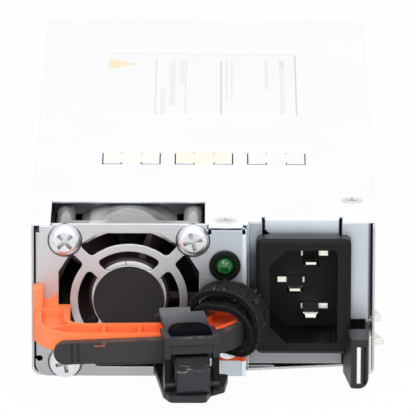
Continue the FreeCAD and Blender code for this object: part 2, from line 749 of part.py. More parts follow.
def fan_rotor():
    """Hub cup with slanting, cambered blades and the bush that holds the shaft."""
    y0 = fan_front + hub_top
    length = rotor_length
    outer = rod(hub_diameter, V(fan_x, y0, fan_z), Y_AXIS, length)
    outer = whole(outer.makeFillet(0.8, [e for e in outer.Edges if e.CenterOfMass.y < y0 + 0.01]))
    inside = rod(hub_diameter - 2 * hub_wall, V(fan_x, y0 + hub_wall, fan_z), Y_AXIS, length)
    hub = outer.cut(inside)
    bush = rod(shaft_diameter + 2.4, V(fan_x, y0 + hub_wall - 0.1, fan_z), Y_AXIS, 1.6)
    hub = fused([hub, bush]).cut(rod(shaft_diameter, V(fan_x, y0 + hub_wall / 2, fan_z), Y_AXIS, 5))
    blades = []
    tip = fan_bore / 2 - blade_gap
    for index in range(blade_count):
        sections = []
        for step in range(3):
            share = step / 2
            y = y0 + 1.0 + share * (length - 2.0)
            thickness = 0.9 + 0.5 * math.sin(math.pi * share)
            points = [V(hub_diameter / 2 - 0.6, y, -thickness), V(tip, y, -thickness * 0.8),
                      V(tip, y, thickness * 0.8), V(hub_diameter / 2 - 0.6, y, thickness)]
            section = Part.makePolygon(points + points[:1])
            section.rotate(V(0, 0, 0), Y_AXIS,
                           360 / blade_count * index + blade_twist * share * (1.6 - 0.6 * share))
            sections.append(section)
        blade = Part.makeLoft(sections, True, False)
        blades.append(at(blade, fan_x, 0, fan_z))
    rotor = fused([hub] + blades)
    return whole(rotor.common(rod(2 * tip, V(fan_x, y0 - 1, fan_z), Y_AXIS, length + 2)))


def fan_hub_label():
    """Round paper label on the hub."""
    return rod(hub_diameter - 1.8, V(fan_x, fan_front + hub_top - 0.1, fan_z), Y_AXIS, 0.1)


def fan_shaft():
    """Steel shaft pressed into the hub and running in the bearings."""
    y0 = fan_front + hub_top + hub_wall / 2
    return rod(shaft_diameter, V(fan_x, y0, fan_z), Y_AXIS, fan_rear - 2.2 - y0)


def fan_bearings():
    """Two ball bearings in the motor column."""
    rings = []
    for y in (fan_front + hub_top + 4.0, fan_rear - bearing_width - 3.0):
        ring = tube(bearing_diameter, shaft_diameter + 0.06, V(fan_x, y, fan_z), Y_AXIS, bearing_width)
        rings.append(ring)
    return rings


def fan_magnet():
    """Ring magnet inside the hub."""
    outer = hub_diameter - 2 * hub_wall
    return tube(outer, outer - 2.4, V(fan_x, fan_front + hub_top + 3.5, fan_z), Y_AXIS, rotor_length - 5.0)


def fan_stator():
    """Four wound poles on the motor column."""
    reach = hub_diameter - 2 * hub_wall - 2.4 - 0.6
    y0 = fan_front + hub_top + 5.0
    length = rotor_length - 8.5
    pieces = [rod(stator_bore + 1.6, V(fan_x, y0, fan_z), Y_AXIS, length)]
    for turn in (45, 135, 225, 315):
        neck = box(0, reach / 2 - 0.6, y0 + 0.8, y0 + length - 0.8, -1.1, 1.1)
        shoe = box(reach / 2 - 1.2, reach / 2 + 1, y0, y0 + length, -3.2, 3.2)
        for piece in (neck, shoe):
            piece.rotate(V(0, 0, 0), Y_AXIS, turn)
            pieces.append(at(piece, fan_x, 0, fan_z))
    stator = fused(pieces).common(rod(reach, V(fan_x, y0 - 1, fan_z), Y_AXIS, length + 2))
    return whole(stator.cut(rod(stator_bore, V(fan_x, y0 - 1, fan_z), Y_AXIS, length + 2)))


# ---------------------------------------------------------------- pull handle and its straps
def handle_plan(outset, z0, z1, left_corner=True):
    """Solid under the outer edge of the handle seen from above, grown by outset."""
    x0 = handle_left - outset
    x1 = handle_right + outset
    y_left = forward(handle_reach + outset)
    y_right = forward(handle_reach - handle_slant + outset)
    block = slab([(x0, handle_back), (x0, y_left), (x1, y_right), (x1, handle_back)], z0, z1)
    if left_corner:
        block = rounded(block, left_radius + outset, Z_AXIS, lambda c: c.x < x0 + 0.01 and c.y < front - 5)
    return rounded(block, right_radius + outset, Z_AXIS, lambda c: c.x > x1 - 0.01 and c.y < front - 5)


def finger_space(outset, z0, z1):
    """Space between the handle's legs, grown by outset."""
    x0 = handle_left + left_leg - outset
    x1 = handle_right - bar_depth + outset
    y_left = forward(handle_reach - bar_depth + outset)
    y_right = forward(handle_reach - handle_slant - bar_depth + outset)
    block = slab([(x0, front + 1), (x0, y_left), (x1, y_right), (x1, front + 1)], z0, z1)
    block = rounded(block, inner_radius + outset, Z_AXIS, lambda c: c.x < x0 + 0.01 and c.y < front - 1)
    return rounded(block, right_radius - bar_depth + outset, Z_AXIS,
                   lambda c: c.x > x1 - 0.01 and c.y < front - 1)


def pull_handle():
    """U-shaped grip with pockets above and below, a tab on the left and a screwed foot on the right."""
    bar = handle_plan(0, bar_bottom, bar_top).cut(finger_space(0, bar_bottom - 1, bar_top + 1))
    ring = handle_plan(-handle_rim, bar_bottom - 1, bar_top + 1)
    ring = ring.cut(finger_space(handle_rim, bar_bottom - 2, bar_top + 2))
    ring = ring.cut(box(handle_left - 1, handle_right + 1, forward(pocket_start), front + 2,
                        bar_bottom - 2, bar_top + 2))
    ribs = [box(x - 0.5, x + 0.5, forward(handle_reach), front, bar_bottom - 2, bar_top + 2)
            for x in (handle_left + 17.2, handle_left + 26.1)]
    brace = box(-7, 7, -0.45, 0.45, bar_bottom - 2, bar_top + 2)
    brace.rotate(V(0, 0, 0), Z_AXIS, 35)
    ribs.append(at(brace, handle_left + left_leg - 2.0, forward(handle_reach - bar_depth + 2.0), 0))
    for rib in ribs:
        ring = ring.cut(rib)
    upper = ring.common(box(left, right, forward(beyond), rear, bar_top - pocket_depth, bar_top + 1))
    lower = ring.common(box(left, right, forward(beyond), rear, bar_bottom - 1, bar_bottom + pocket_depth))
    bar = bar.cut(upper).cut(lower)
    tab = box(left + 0.4, handle_left + 1.7, forward(3.2), handle_back, tab_bottom, tab_top)
    tab = rounded(tab, 0.6, X_AXIS, lambda c: c.y < front - 3)
    step = upright([(handle_left + 1, bar_bottom), (handle_left + 1, bar_top + 1.6),
                    (handle_left + 4.2, bar_top + 1.6),
                    (handle_left + 4.4, bar_top + 2.6), (handle_left + 5.4, bar_top + 2.6),
                    (handle_left + 5.6, bar_bottom)], forward(1.0), handle_back)
    foot = rounded_bar(plate_right - 7.3, plate_right - 0.3, forward(2.4), handle_back,
                       foot_bottom, bar_bottom + 1, 0.5, Y_AXIS)
    post = rod(1.6, V(plate_right - 0.9, forward(2.2), foot_bottom), Z_AXIS, bar_bottom + 0.5 - foot_bottom)
    handle = fused([bar, tab, step, foot, post])
    return whole(handle.cut(rod(handle_screw_thread + 0.2, V(handle_screw_x, forward(4), handle_screw_z),
                                Y_AXIS, 6)))


def handle_screw():
    """Pan head screw through the foot of the handle."""
    screw = facing_front(pan_screw(handle_screw_head, 1.9, handle_screw_thread - 0.1, 6.5, 1.5), 30)
    return at(screw, handle_screw_x, forward(2.4 + seat), handle_screw_z)


def retention_strap():
    """Smooth strap that lies on the front of the handle, with a free rounded tip and a rail below."""
    tip = handle_left + left_radius - strap_overhang
    z1 = strap_bottom + strap_height
    middle = strap_bottom + strap_height / 2
    inner = handle_plan(strap_gap, 0, case_height, False)
    band = handle_plan(strap_gap + strap_thickness, 0, case_height, False).cut(inner)
    thin_band = handle_plan(strap_gap + 0.8, 0, case_height, False).cut(inner)
    outline = fused([box(tip + strap_height / 2, right, forward(beyond), forward(0.4), strap_bottom, z1),
                     rod(strap_height, V(tip + strap_height / 2, forward(beyond), middle), Y_AXIS, beyond)])
    rail = box(tip + 10.3, arc_x + 12, forward(beyond), front, strap_bottom - 0.8, strap_bottom + 0.5)
    grooves = [box(x - 0.25, x + 0.25, forward(handle_reach + 3),
                   forward(handle_reach + strap_thickness - 0.55),
                   strap_bottom + 0.6, z1 - 0.6) for x in (tip + 4.6, tip + 6.1)]
    for shape in [outline, rail] + grooves:
        shape.rotate(V(tip, 0, middle), Y_AXIS, -strap_tilt)
    return whole(fused([band.common(outline), thin_band.common(rail)]).cut(grooves))


def askew(shape):
    """Turn a piece of the clamp to the way that the clamp stands on the bar."""
    shape.rotate(V(clamp_x, forward(handle_reach), 0), Z_AXIS, clamp_yaw)
    return shape


def across(profile, x0, x1):
    """Outline given in distance from the front plate and Z, pushed from x0 to x1."""
    return prism([V(x0, forward(d), z) for d, z in profile], V(x1 - x0, 0, 0))


def strap_clamp():
    """Clamp round the bar and the strap: base plate, rear wall, flared bridge, cheeks and front band."""
    half = clamp_width / 2
    floor_top = clamp_bottom + clamp_wall + 0.2
    bridge = bar_top + running
    plate = slab([(clamp_x - 8.6, forward(11)), (clamp_x - 6.2, forward(31)), (clamp_x - 4.4, forward(35)),
                  (clamp_x + 4.4, forward(35)), (clamp_x + 5.6, forward(30)), (clamp_x + 9.0, forward(27.0)),
                  (clamp_x + 10.0, forward(17.5)), (clamp_x + 6.6, forward(17.5)), (clamp_x + 6.0,
                                                                                    forward(11))],
                 clamp_bottom, floor_top)
    plate = rounded(plate, 1.4, Z_AXIS)
    rear_wall = across([(10.2, clamp_bottom), (10.2 + clamp_wall, clamp_bottom),
                        (10.2 + clamp_wall, bridge + 1),
                        (10.2, bridge + 1)], clamp_x - half, clamp_x - 0.4)
    lip = across([(11.3, clamp_top + 1.2), (11.3, bridge), (24.4, bridge), (24.4, bridge + 1.2),
                  (13, clamp_top + 0.4)],
                 clamp_x - half + 1.2, clamp_x + half - 1.2)
    lip = lip.cut(box(clamp_x + 2.2, right, forward(12.8), front, bridge - 1, clamp_top + 2))
    pad = slab([(clamp_x - pad_width / 2, forward(pad_rear)),
                (clamp_x - pad_width / 2, forward(clamp_front - 1)),
                (clamp_x + pad_width / 2, forward(clamp_front - 1)), (clamp_x + pad_width / 2,
                                                                      forward(pad_rear))],
               bridge + 0.9, clamp_top + 0.5)
    pad = rounded(pad, 3.0, Z_AXIS, lambda c: c.y > forward(pad_rear + 1))
    cheeks = [across([(22.5, bridge), (22.5, bridge + 1.2), (clamp_front, clamp_top),
                      (clamp_front, floor_top - 1),
                      (clamp_front - 3.2, floor_top - 1), (clamp_front - 3.2, bridge)], x, x + clamp_wall)
              for x in (clamp_x - half, clamp_x + half - clamp_wall)]
    band_bottom = clamp_top - band_height
    band = across([(clamp_front - 2.0, band_bottom), (clamp_front - 2.0, clamp_top), (clamp_front, clamp_top),
                   (clamp_front + 0.2, clamp_top - 2.2), (clamp_front - 0.3, clamp_top - 2.5),
                   (clamp_front - 0.3, band_bottom)], clamp_x - half, clamp_x + half)
    clamp = fused([askew(piece) for piece in [rear_wall, lip, pad, band] + cheeks] + [plate])
    pin = rod(pawl_pin_diameter + 2 * seat, V(clamp_x - half - 1, forward(pawl_pivot), pawl_pivot_z),
              X_AXIS, clamp_width + 2)
    return whole(clamp.cut(askew(pin)))


def clamp_pawl():
    """Release pawl of the clamp, with a tooth that points at the strap."""
    z0 = clamp_bottom + clamp_wall + 0.2 + running
    profile = [(clamp_front - 1.2, z0 + 0.6), (clamp_front + 1.2, z0 + 0.3), (pawl_front - 0.5, z0 + 0.3),
               (pawl_front, z0 + 1.0), (pawl_front, z0 + 6.2), (clamp_front, z0 + 8.6),
               (clamp_front - 3.6, z0 + 8.6), (clamp_front - 5.0, z0 + 7.4), (clamp_front - 3.4, z0 + 6.6),
               (clamp_front - 1.2, z0 + 6.2)]
    pawl = across(profile, clamp_x - pawl_width / 2, clamp_x + pawl_width / 2)
    pin = rod(pawl_pin_diameter + 0.06, V(clamp_x - clamp_width, forward(pawl_pivot), pawl_pivot_z),
              X_AXIS, 2 * clamp_width)
    return whole(askew(pawl.cut(pin)))


def pawl_pin():
    """Hinge pin of the pawl, held in the cheeks of the clamp."""
    return askew(rod(pawl_pin_diameter, V(clamp_x - clamp_width / 2, forward(pawl_pivot), pawl_pivot_z),
                     X_AXIS, clamp_width))


def loop_ring(outset, y0, y1):
    """Rounded outline of the hook-and-loop strap round the handle's right leg, grown by outset."""
    inner = right_radius - bar_depth
    x0 = arc_x + math.sqrt(inner * inner - loop_width * loop_width / 4) - running
    x1 = handle_right + strap_thickness + 4 * running
    strap_rise = (x1 - handle_left) * math.tan(math.radians(strap_tilt))
    z0 = strap_bottom - 0.8 - running + 0.7 * strap_rise
    z1 = bar_top + 4.1
    ring = box(x0 - outset, x1 + outset, y0, y1, z0 - outset, z1 + outset)
    ring = rounded(ring, 1.6 + outset, Y_AXIS, lambda c: c.z < z0 + 0.1 or c.x < x0 + 0.1)
    return rounded(ring, 5.4 + outset, Y_AXIS, lambda c: c.z > bar_top and c.x > x0 + 0.1)


def hook_loop_strap():
    """Two wraps of fuzzy strap round the right leg of the handle."""
    y0 = arc_y - loop_width / 2
    y1 = arc_y + loop_width / 2
    ring = loop_ring(2 * loop_thickness, y0, y1).cut(loop_ring(0, y0 - 1, y1 + 1))
    ring.rotate(V(arc_x, arc_y, 0), Z_AXIS, -loop_turn)
    return whole(ring)


# ---------------------------------------------------------------- AC inlet
def cavity_outline(grow):
    """X and Z of the plug cavity, two corners cut off on the earth side."""
    x0 = inlet_x - cavity_width / 2 - grow
    x1 = inlet_x + cavity_width / 2 + grow
    z0 = inlet_z - cavity_height / 2 - grow
    z1 = inlet_z + cavity_height / 2 + grow
    cut = cavity_chamfer
    return [(x0 + cut, z0), (x1, z0), (x1, z1), (x0 + cut, z1), (x0, z1 - cut), (x0, z0 + cut)]


def pin_places():
    """Name, X, Z and sideways shift of the terminal shoulder of each pin."""
    line_x = inlet_x + 1.9
    half = pin_pitch / 2
    return [("inlet_pin_line", line_x, inlet_z + half, 1.0), ("inlet_pin_neutral", line_x, inlet_z - half,
                                                              1.0),
            ("inlet_pin_earth", line_x - earth_offset, inlet_z, -0.9)]


def inlet_housing():
    """Moulded housing of the inlet: bevelled flange in front of the panel and body behind it."""
    z0 = inlet_z - inlet_height / 2
    x0 = inlet_x - inlet_width / 2
    flange = rounded_bar(x0, x0 + inlet_width, inlet_face, inlet_panel_y - seat, z0, z0 + inlet_height,
                         1.6, Y_AXIS)
    flange = whole(flange.makeChamfer(0.8,
                                      [e for e in flange.Edges if abs(e.CenterOfMass.y - inlet_face) < 0.01]))
    body = rounded_bar(inlet_x - inlet_body_width / 2, inlet_x + inlet_body_width / 2, inlet_panel_y - 1,
                       inlet_face + inlet_body_depth, inlet_z - inlet_body_height / 2,
                       inlet_z + inlet_body_height / 2, 1.4, Y_AXIS)
    housing = fused([flange, body])
    cavity = upright(cavity_outline(0), inlet_face - 1, inlet_face + cavity_depth)
    cavity = rounded(cavity, 1.0, Y_AXIS, lambda c: c.x > inlet_x + cavity_width / 2 - 0.01)
    housing = housing.cut(cavity)
    for name, x, z, shift in pin_places():
        housing = housing.cut(box(x - pin_width / 2 - seat, x + pin_width / 2 + seat, inlet_face, rear,
                                  z - pin_thickness / 2 - seat, z + pin_thickness / 2 + seat))
    return whole(housing)


def inlet_pin(x, z, shift):
    """Blade with a bevelled tip, a bright shoulder at the cavity's floor and a solder tab behind."""
    floor_y = inlet_face + cavity_depth
    tip = floor_y - pin_length
    blade = box(x - pin_width / 2, x + pin_width / 2, tip, floor_y + 12, z - pin_thickness / 2,
                z + pin_thickness / 2)
    blade = whole(blade.makeChamfer(0.7, [e for e in blade.Edges if abs(e.CenterOfMass.y - tip) < 0.01]))
    shoulder = box(x + shift - shoulder_width / 2, x + shift + shoulder_width / 2, floor_y - 0.5,
                   floor_y - seat,
                   z - 0.7, z + 0.7)
    hole = rod(1.3, V(x, floor_y + 10.2, z - 5), Z_AXIS, 10)
    return whole(fused([blade, shoulder]).cut(hole))


def inlet_bars():
    """Plated bars that stand on the front of the board and lie on the solder tabs of the inlet."""
    y0 = inlet_face + inlet_body_depth + running
    y1 = board_front + busbar_distance
    bars = []
    for place, side in zip(pin_places(), (1, -1, -1)):
        x, pin_z = place[1:3]
        x0 = x + side * 1.2 - busbar_width / 2
        z0 = pin_z + pin_thickness / 2 + seat
        z1 = z0 + busbar_thickness
        flat = box(x0, x0 + busbar_width, y0, y1, z0, z1)
        leg = box(x0, x0 + busbar_width, y1 - busbar_thickness, y1, on_board(), z1)
        bars.append(fused([flat, leg]))
    return bars


# ---------------------------------------------------------------- release latch
def release_lever():
    """Thumb grip moulded over the front end of the latch arm."""
    z0 = lever_bottom
    z1 = z0 + lever_height
    flange_z = inlet_z - inlet_height / 2 - running
    flange_x = inlet_x + inlet_width / 2
    arm_x = arm_outer - arm_thickness
    face_y = inlet_face - running - 0.5
    panel_y = inlet_panel_y - running - 0.6
    grip = slab([(latch_x0, panel_y), (latch_x0 + 1.8, forward(lever_reach)),
                 (lever_right, forward(lever_reach)),
                 (lever_right, panel_y)], z0, z1)
    grip = rounded(grip, 1.4, Z_AXIS, lambda c: c.y < forward(lever_reach) + 0.5)
    # the lower right edge is rounded to clear the bend of the floor
    outline = box(latch_x0, lever_right, forward(lever_reach), panel_y, z0, z1)
    outline = rounded(outline, 2.6, Y_AXIS, lambda c: c.z < z0 + 0.01 and c.x > lever_right - 0.01)
    grip = grip.common(outline)
    # notch that clears the flange of the inlet when the lever is pressed
    grip = grip.cut(box(flange_x - 8, arm_x, face_y, inlet_panel_y + 1, flange_z, z1 + 1))
    groove_top = z0 + insert_height + 1.4
    groove = box(latch_x0 + 3.2 - seat, latch_x0 + 4.2 + seat, forward(lever_reach + 1),
                 forward(lever_reach - 1.0), z0 + 1.2, groove_top)
    side_groove = box(lever_right - 1.3, lever_right - 0.8, forward(lever_reach + 1),
                      forward(lever_reach - 1.0), z0 + 1.2, groove_top)
    grip = grip.cut(groove).cut(side_groove)
    arm = box(arm_x - seat, arm_outer + 1, arm_front - seat, inlet_panel_y, arm_z0 - seat,
              arm_z0 + arm_height + seat)
    return whole(grip.cut(arm))


def latch_arm():
    """Sprung steel arm beside the inlet, with two ramp-shaped teeth that pass through the wall."""
    arm_x = arm_outer - arm_thickness
    arm = box(arm_x, arm_outer, arm_front, pivot_y, arm_z0, arm_z0 + arm_height)
    boss = rod(latch_boss, V(pivot_x, pivot_y, arm_z0), Z_AXIS, arm_height)
    lever = fused([arm, boss])
    for top, proud in zip(tooth_tops, tooth_proud):
        crest = right + proud
        tooth = slab([(arm_x, tooth_y - 0.4), (right, tooth_y - 0.4), (crest, tooth_y + 0.3),
                      (right, tooth_y + tooth_run), (arm_x, tooth_y + tooth_run)], top - tooth_thickness, top)
        lever = lever.fuse(tooth)
    gap_z = arm_z0 + arm_height / 2
    lever = lever.cut(tube(12, latch_pin_diameter, V(pivot_x, pivot_y, gap_z - spring_gap / 2), Z_AXIS,
                           spring_gap))
    return whole(lever.cut(rod(latch_pin_diameter + 0.1, V(pivot_x, pivot_y, 0), Z_AXIS,
                               20)).removeSplitter())


def latch_spring():
    """Coil round the latch pin, in the gap of the boss, with one leg along the wall."""
    radius = latch_pin_diameter / 2 + spring_wire / 2 + 2 * seat
    height = spring_gap - spring_wire - 0.4
    start = V(pivot_x + radius, pivot_y, arm_z0 + (arm_height - height) / 2)
    helix = Part.makeHelix(height / 2, height, radius)
    helix.translate(V(pivot_x, pivot_y, start.z))
    section = Part.Wire(Part.makeCircle(spring_wire / 2, start, Y_AXIS))
    coil = Part.Wire(helix.Edges).makePipeShell([section], True, True)
    leg = rod(spring_wire, start + V(0, -0.2, height), Y_AXIS, 9)
    return fused([coil, leg])


def latch_insert():
    """Light strip let into the front of the lever."""
    return box(latch_x0 + 3.2, latch_x0 + 4.2, forward(lever_reach - 0.05), forward(lever_reach - 1.0 + seat),
               lever_bottom + 1.3, lever_bottom + 1.3 + insert_height)


def latch_pin():
    """Upright pin that the lever turns on, standing on the floor, with a head above the lever."""
    top = arm_z0 + arm_height
    pin = rod(latch_pin_diameter, V(pivot_x, pivot_y, steel + seat), Z_AXIS, top + 0.8 - steel)
    return fused([pin, rod(latch_pin_diameter + 1.6, V(pivot_x, pivot_y, top + running), Z_AXIS, 0.8)])


# ---------------------------------------------------------------- electronics
def board_support_places():
    """Plan positions of the supports and screws of the main board."""
    inset = 4.5
    return [(x, y) for x in (-board_width / 2 + inset, board_width / 2 - inset)
            for y in (board_front + inset, (board_front + board_rear) / 2, board_rear - inset)]


def board_supports():
    """Threaded six-sided supports between the floor and the board."""
    supports = []
    for x, y in board_support_places():
        post = hexagon(support_diameter, 0, board_height - 2 * seat, 0, 0)
        post.rotate(V(0, 0, 0), X_AXIS, 90)
        post = at(post, x, y, steel + seat)
        post = post.cut(rod(board_screw_thread, V(x, y, steel + 1), Z_AXIS, board_height))
        supports.append(whole(post))
    return supports


def board_screws():
    """Pan head screws of the main board."""
    screw = pan_screw(4.6, 1.6, board_screw_thread - 0.1, 4.4, 1.2)
    return [at(screw, x, y, board_top + seat) for x, y in board_support_places()]


def main_board():
    """Printed board with its card edge standing out of the rear panel."""
    half = board_right
    tongue = card_width / 2
    board = slab([(-half, board_front), (half, board_front), (half, board_rear), (tongue, board_rear),
                  (tongue, rear + card_reach - 0.8), (tongue - 0.8, rear + card_reach),
                  (-tongue + 0.8, rear + card_reach), (-tongue, rear + card_reach - 0.8), (-tongue,
                                                                                           board_rear),
                  (-half, board_rear)], board_bottom, board_top)
    for x, y in board_support_places():
        board = board.cut(rod(board_screw_thread + 0.3, V(x, y, board_bottom - 1), Z_AXIS, 4))
    board = board.cut(box(pivot_x - latch_boss / 2 - 1, half + 1, board_front - 1, pivot_y + latch_boss,
                          board_bottom - 1, board_top + 1))
    key = box(5.0, 6.4, rear + card_reach - 6, rear + card_reach + 1, board_bottom - 1, board_top + 1)
    return whole(board.cut(key))


def edge_contacts():
    """Gold contacts on both faces of the card edge."""
    count = int((card_width - 2) / contact_pitch)
    contacts = []
    for index in range(count):
        x = (index - (count - 1) / 2) * contact_pitch
        if 4.0 < x < 7.4:
            continue
        for z in (board_bottom - seat - 0.05, board_top + seat):
            contacts.append(box(x - 0.8, x + 0.8, rear + card_reach - 1 - contact_length,
                                rear + card_reach - 1, z, z + 0.05))
    return contacts


def toroid(outer, inner, height, x, y, z):
    """Wound ring core lying flat."""
    ring = tube(outer, inner, V(x, y, z), Z_AXIS, height)
    return whole(ring.makeFillet((outer - inner) * 0.2, [e for e in ring.Edges if e.Closed]))


def on_board(height=0.0):
    """Z of a point at a height above the board's parts face."""
    return board_top + seat + height


def emi_choke():
    """Common mode choke: ring core behind the inlet."""
    return toroid(choke_diameter, choke_diameter * 0.45, choke_height, inlet_x - 2,
                  board_front + choke_distance + choke_diameter / 2, on_board())


def film_capacitors():
    """Two box film capacitors next to the choke."""
    width, length, height = film_size
    y = board_front + choke_distance + choke_diameter + part_gap
    return [rounded_bar(x, x + width, y, y + length, on_board(), on_board(height), 0.8, Z_AXIS)
            for x in (inlet_x - film_pitch, inlet_x)]


def bulk_capacitors():
    """Two upright electrolytic capacitors with a rolled rim and a scored vent."""
    caps = []
    for index in (0, 1):
        x = board_left + bulk_diameter / 2 + bulk_inset
        y = board_front + bulk_diameter / 2 + bulk_distance + index * (bulk_diameter + part_gap)
        can = rod(bulk_diameter, V(x, y, on_board()), Z_AXIS, bulk_height)
        can = whole(can.makeFillet(1.2,
                                   [e for e in can.Edges if e.Closed and e.CenterOfMass.z > board_top + 5]))
        for turn in (0, 60, 120):
            score = box(-bulk_diameter * 0.3, bulk_diameter * 0.3, -0.2, 0.2, 0, 1)
            score.rotate(V(0, 0, 0), Z_AXIS, turn)
            can = can.cut(at(score, x, y, on_board(bulk_height - 0.4)))
        caps.append(whole(can))
    return caps


def bridge_rectifier():
    """Flat package standing on the board."""
    width, thickness, height = rectifier_size
    y = board_front + rectifier_distance
    return rounded_bar(-width / 2, width / 2, y, y + thickness, on_board(), on_board(height), 0.5, Z_AXIS)


def pfc_inductor():
    """Large wound ring core."""
    x0 = board_left + bulk_inset + bulk_diameter + part_gap
    x1 = inlet_x - film_pitch - part_gap
    y = board_front + rectifier_distance + rectifier_size[1] + part_gap + (x1 - x0) / 2
    return toroid(x1 - x0, (x1 - x0) * 0.45, inductor_height, (x0 + x1) / 2, y, on_board())


def main_transformer():
    """Wound transformer: ferrite core round a coil former."""
    y = board_front + transformer_distance
    x0 = board_left + card_inset + chip_size[0] + 2 * part_gap
    x1 = board_right - secondary_sink[0] - 4 * part_gap
    quarter = transformer_length / 4
    core = box(x0, x1, y + quarter, y + 3 * quarter, on_board(3), on_board(transformer_height))
    winding = rounded_bar(x0 + 4, x1 - 4, y, y + transformer_length, on_board(),
                          on_board(transformer_height - 3),
                          5.0, Z_AXIS)
    return fused([core, winding])


def heatsink(inner, outer, length):
    """Upright finned plate along Y, fins towards +X, given by its insets from the board's right edge."""
    x0 = board_right - inner
    y0 = board_front + heatsink_distance
    pieces = [box(x0, x0 + 2 * fin_thickness, y0, y0 + length, on_board(), on_board(heatsink_height))]
    count = int((length - fin_thickness) / fin_pitch)
    for index in range(count + 1):
        y = y0 + index * fin_pitch
        pieces.append(box(x0 + fin_thickness, board_right - outer, y, y + fin_thickness,
                          on_board(heatsink_height / 5),
                          on_board(heatsink_height)))
    return fused(pieces)


def output_capacitors():
    """Row of small electrolytic capacitors near the card edge."""
    pitch = output_cap_diameter + 1.2
    return [rod(output_cap_diameter, V((i - 2.5) * pitch, board_rear - output_cap_inset, on_board()), Z_AXIS,
                output_cap_height) for i in range(6)]


def relay():
    """Inrush relay in its case."""
    width, length, height = relay_size
    x1 = board_right - board_margin - support_diameter
    y0 = board_front + relay_distance
    return rounded_bar(x1 - width, x1, y0, y0 + length, on_board(), on_board(height), 0.8, Z_AXIS)


def fuse():
    """Glass tube fuse with end caps in board clips."""
    y = board_front + fuse_distance
    x = inlet_x - film_pitch
    z = on_board(4)
    clips = [box(x + k, x + k + 2, y - 1.5, y + 1.5, on_board(), z) for k in (1, fuse_length - 3)]
    return fused([rod(5.0, V(x, y, z), X_AXIS, fuse_length)] + clips)


def control_board():
    """Upright daughter board with its controller chips."""
    depth, length, height = chip_size
    x = board_left + card_inset
    y0 = board_front + card_distance
    pieces = [box(x, x + 1.2, y0, y0 + card_length, on_board(), on_board(card_height))]
    for index in range(3):
        y = y0 + card_length * (index + 0.5) / 3 - length / 2
        pieces.append(box(x + 1.1, x + 1.2 + depth, y, y + length, on_board(9), on_board(9 + height)))
    return fused(pieces)


def build():
    """Write every node of the power supply."""
    save("base_chassis", base_chassis())
    save("top_cover", top_cover())
    save("front_plate", front_plate())
    save("inlet_panel", inlet_panel())
    save("rear_panel", rear_panel())
    save("insulation_sheet", insulation_sheet())
    save("top_label", top_label())
    save("amber_sticker", amber_sticker())
    save("cover_screws", *cover_screws())
    save("grille_disc_label", grille_disc_label())
    save("fan_screws", *fan_screws())
    save("led_bezel", led_bezel_ring())
    save("status_led", status_led())
    save("fan_frame", fan_frame())
    save("fan_rotor", fan_rotor())
    save("fan_hub_label", fan_hub_label())
    save("fan_shaft", fan_shaft())
    save("fan_bearings", *fan_bearings())
    save("fan_magnet", fan_magnet())
    save("fan_stator", fan_stator())
    save("pull_handle", pull_handle())
    save("handle_screw", handle_screw())
    save("retention_strap", retention_strap())
    save("strap_clamp", strap_clamp())
    save("clamp_pawl", clamp_pawl())
    save("pawl_pin", pawl_pin())
    save("hook_loop_strap", hook_loop_strap())
    save("inlet_bars", *inlet_bars())
    save("inlet_housing", inlet_housing())
    for name, x, z, shift in pin_places():
        save(name, inlet_pin(x, z, shift))
    save("release_lever", release_lever())
    save("latch_arm", latch_arm())
    save("latch_insert", latch_insert())
    save("latch_spring", latch_spring())
    save("latch_pin", latch_pin())
    save("main_board", main_board())
    save("edge_contacts", *edge_contacts())
    save("board_supports", *board_supports())
    save("board_screws", *board_screws())
    save("emi_choke", emi_choke())
    save("film_capacitors", *film_capacitors())
    save("bulk_capacitors", *bulk_capacitors())
    save("bridge_rectifier", bridge_rectifier())
    save("pfc_inductor", pfc_inductor())
    save("main_transformer", main_transformer())
    save("primary_heatsink", heatsink(*primary_sink))
    save("secondary_heatsink", heatsink(*secondary_sink))
    save("output_capacitors", *output_capacitors())
    save("relay", relay())
    save("fuse", fuse())
    save("control_board", control_board())


if __name__ == "__main__":
    os.makedirs("parts", exist_ok=True)
    build()
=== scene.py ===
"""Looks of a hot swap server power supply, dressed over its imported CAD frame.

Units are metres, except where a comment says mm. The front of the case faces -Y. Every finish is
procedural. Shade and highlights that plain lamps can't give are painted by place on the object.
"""

import math
import random

import bmesh
import bpy
import mathutils.noise
from mathutils import Matrix, Vector


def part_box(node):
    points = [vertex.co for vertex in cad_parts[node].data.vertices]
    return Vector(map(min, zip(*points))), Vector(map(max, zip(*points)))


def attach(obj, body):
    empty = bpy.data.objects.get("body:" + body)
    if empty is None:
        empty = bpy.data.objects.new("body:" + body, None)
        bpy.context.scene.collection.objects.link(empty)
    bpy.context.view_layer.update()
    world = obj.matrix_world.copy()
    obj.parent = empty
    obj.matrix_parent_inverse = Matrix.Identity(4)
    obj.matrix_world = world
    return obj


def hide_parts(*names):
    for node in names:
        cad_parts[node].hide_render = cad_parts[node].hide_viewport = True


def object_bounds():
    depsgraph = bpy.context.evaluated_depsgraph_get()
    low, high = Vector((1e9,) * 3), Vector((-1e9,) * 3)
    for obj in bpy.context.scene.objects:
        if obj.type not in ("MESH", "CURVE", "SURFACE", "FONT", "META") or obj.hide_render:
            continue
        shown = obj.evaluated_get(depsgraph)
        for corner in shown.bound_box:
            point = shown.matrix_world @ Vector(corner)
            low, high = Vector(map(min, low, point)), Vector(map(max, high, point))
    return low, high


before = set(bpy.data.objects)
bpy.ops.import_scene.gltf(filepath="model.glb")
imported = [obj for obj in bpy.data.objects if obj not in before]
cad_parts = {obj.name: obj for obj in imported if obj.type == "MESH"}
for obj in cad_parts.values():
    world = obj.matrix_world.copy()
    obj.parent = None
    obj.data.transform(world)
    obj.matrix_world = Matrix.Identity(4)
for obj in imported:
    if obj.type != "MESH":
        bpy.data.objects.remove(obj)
cad_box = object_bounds()
scene = bpy.context.scene

MM = 0.001
X, Y, Z = 0, 1, 2

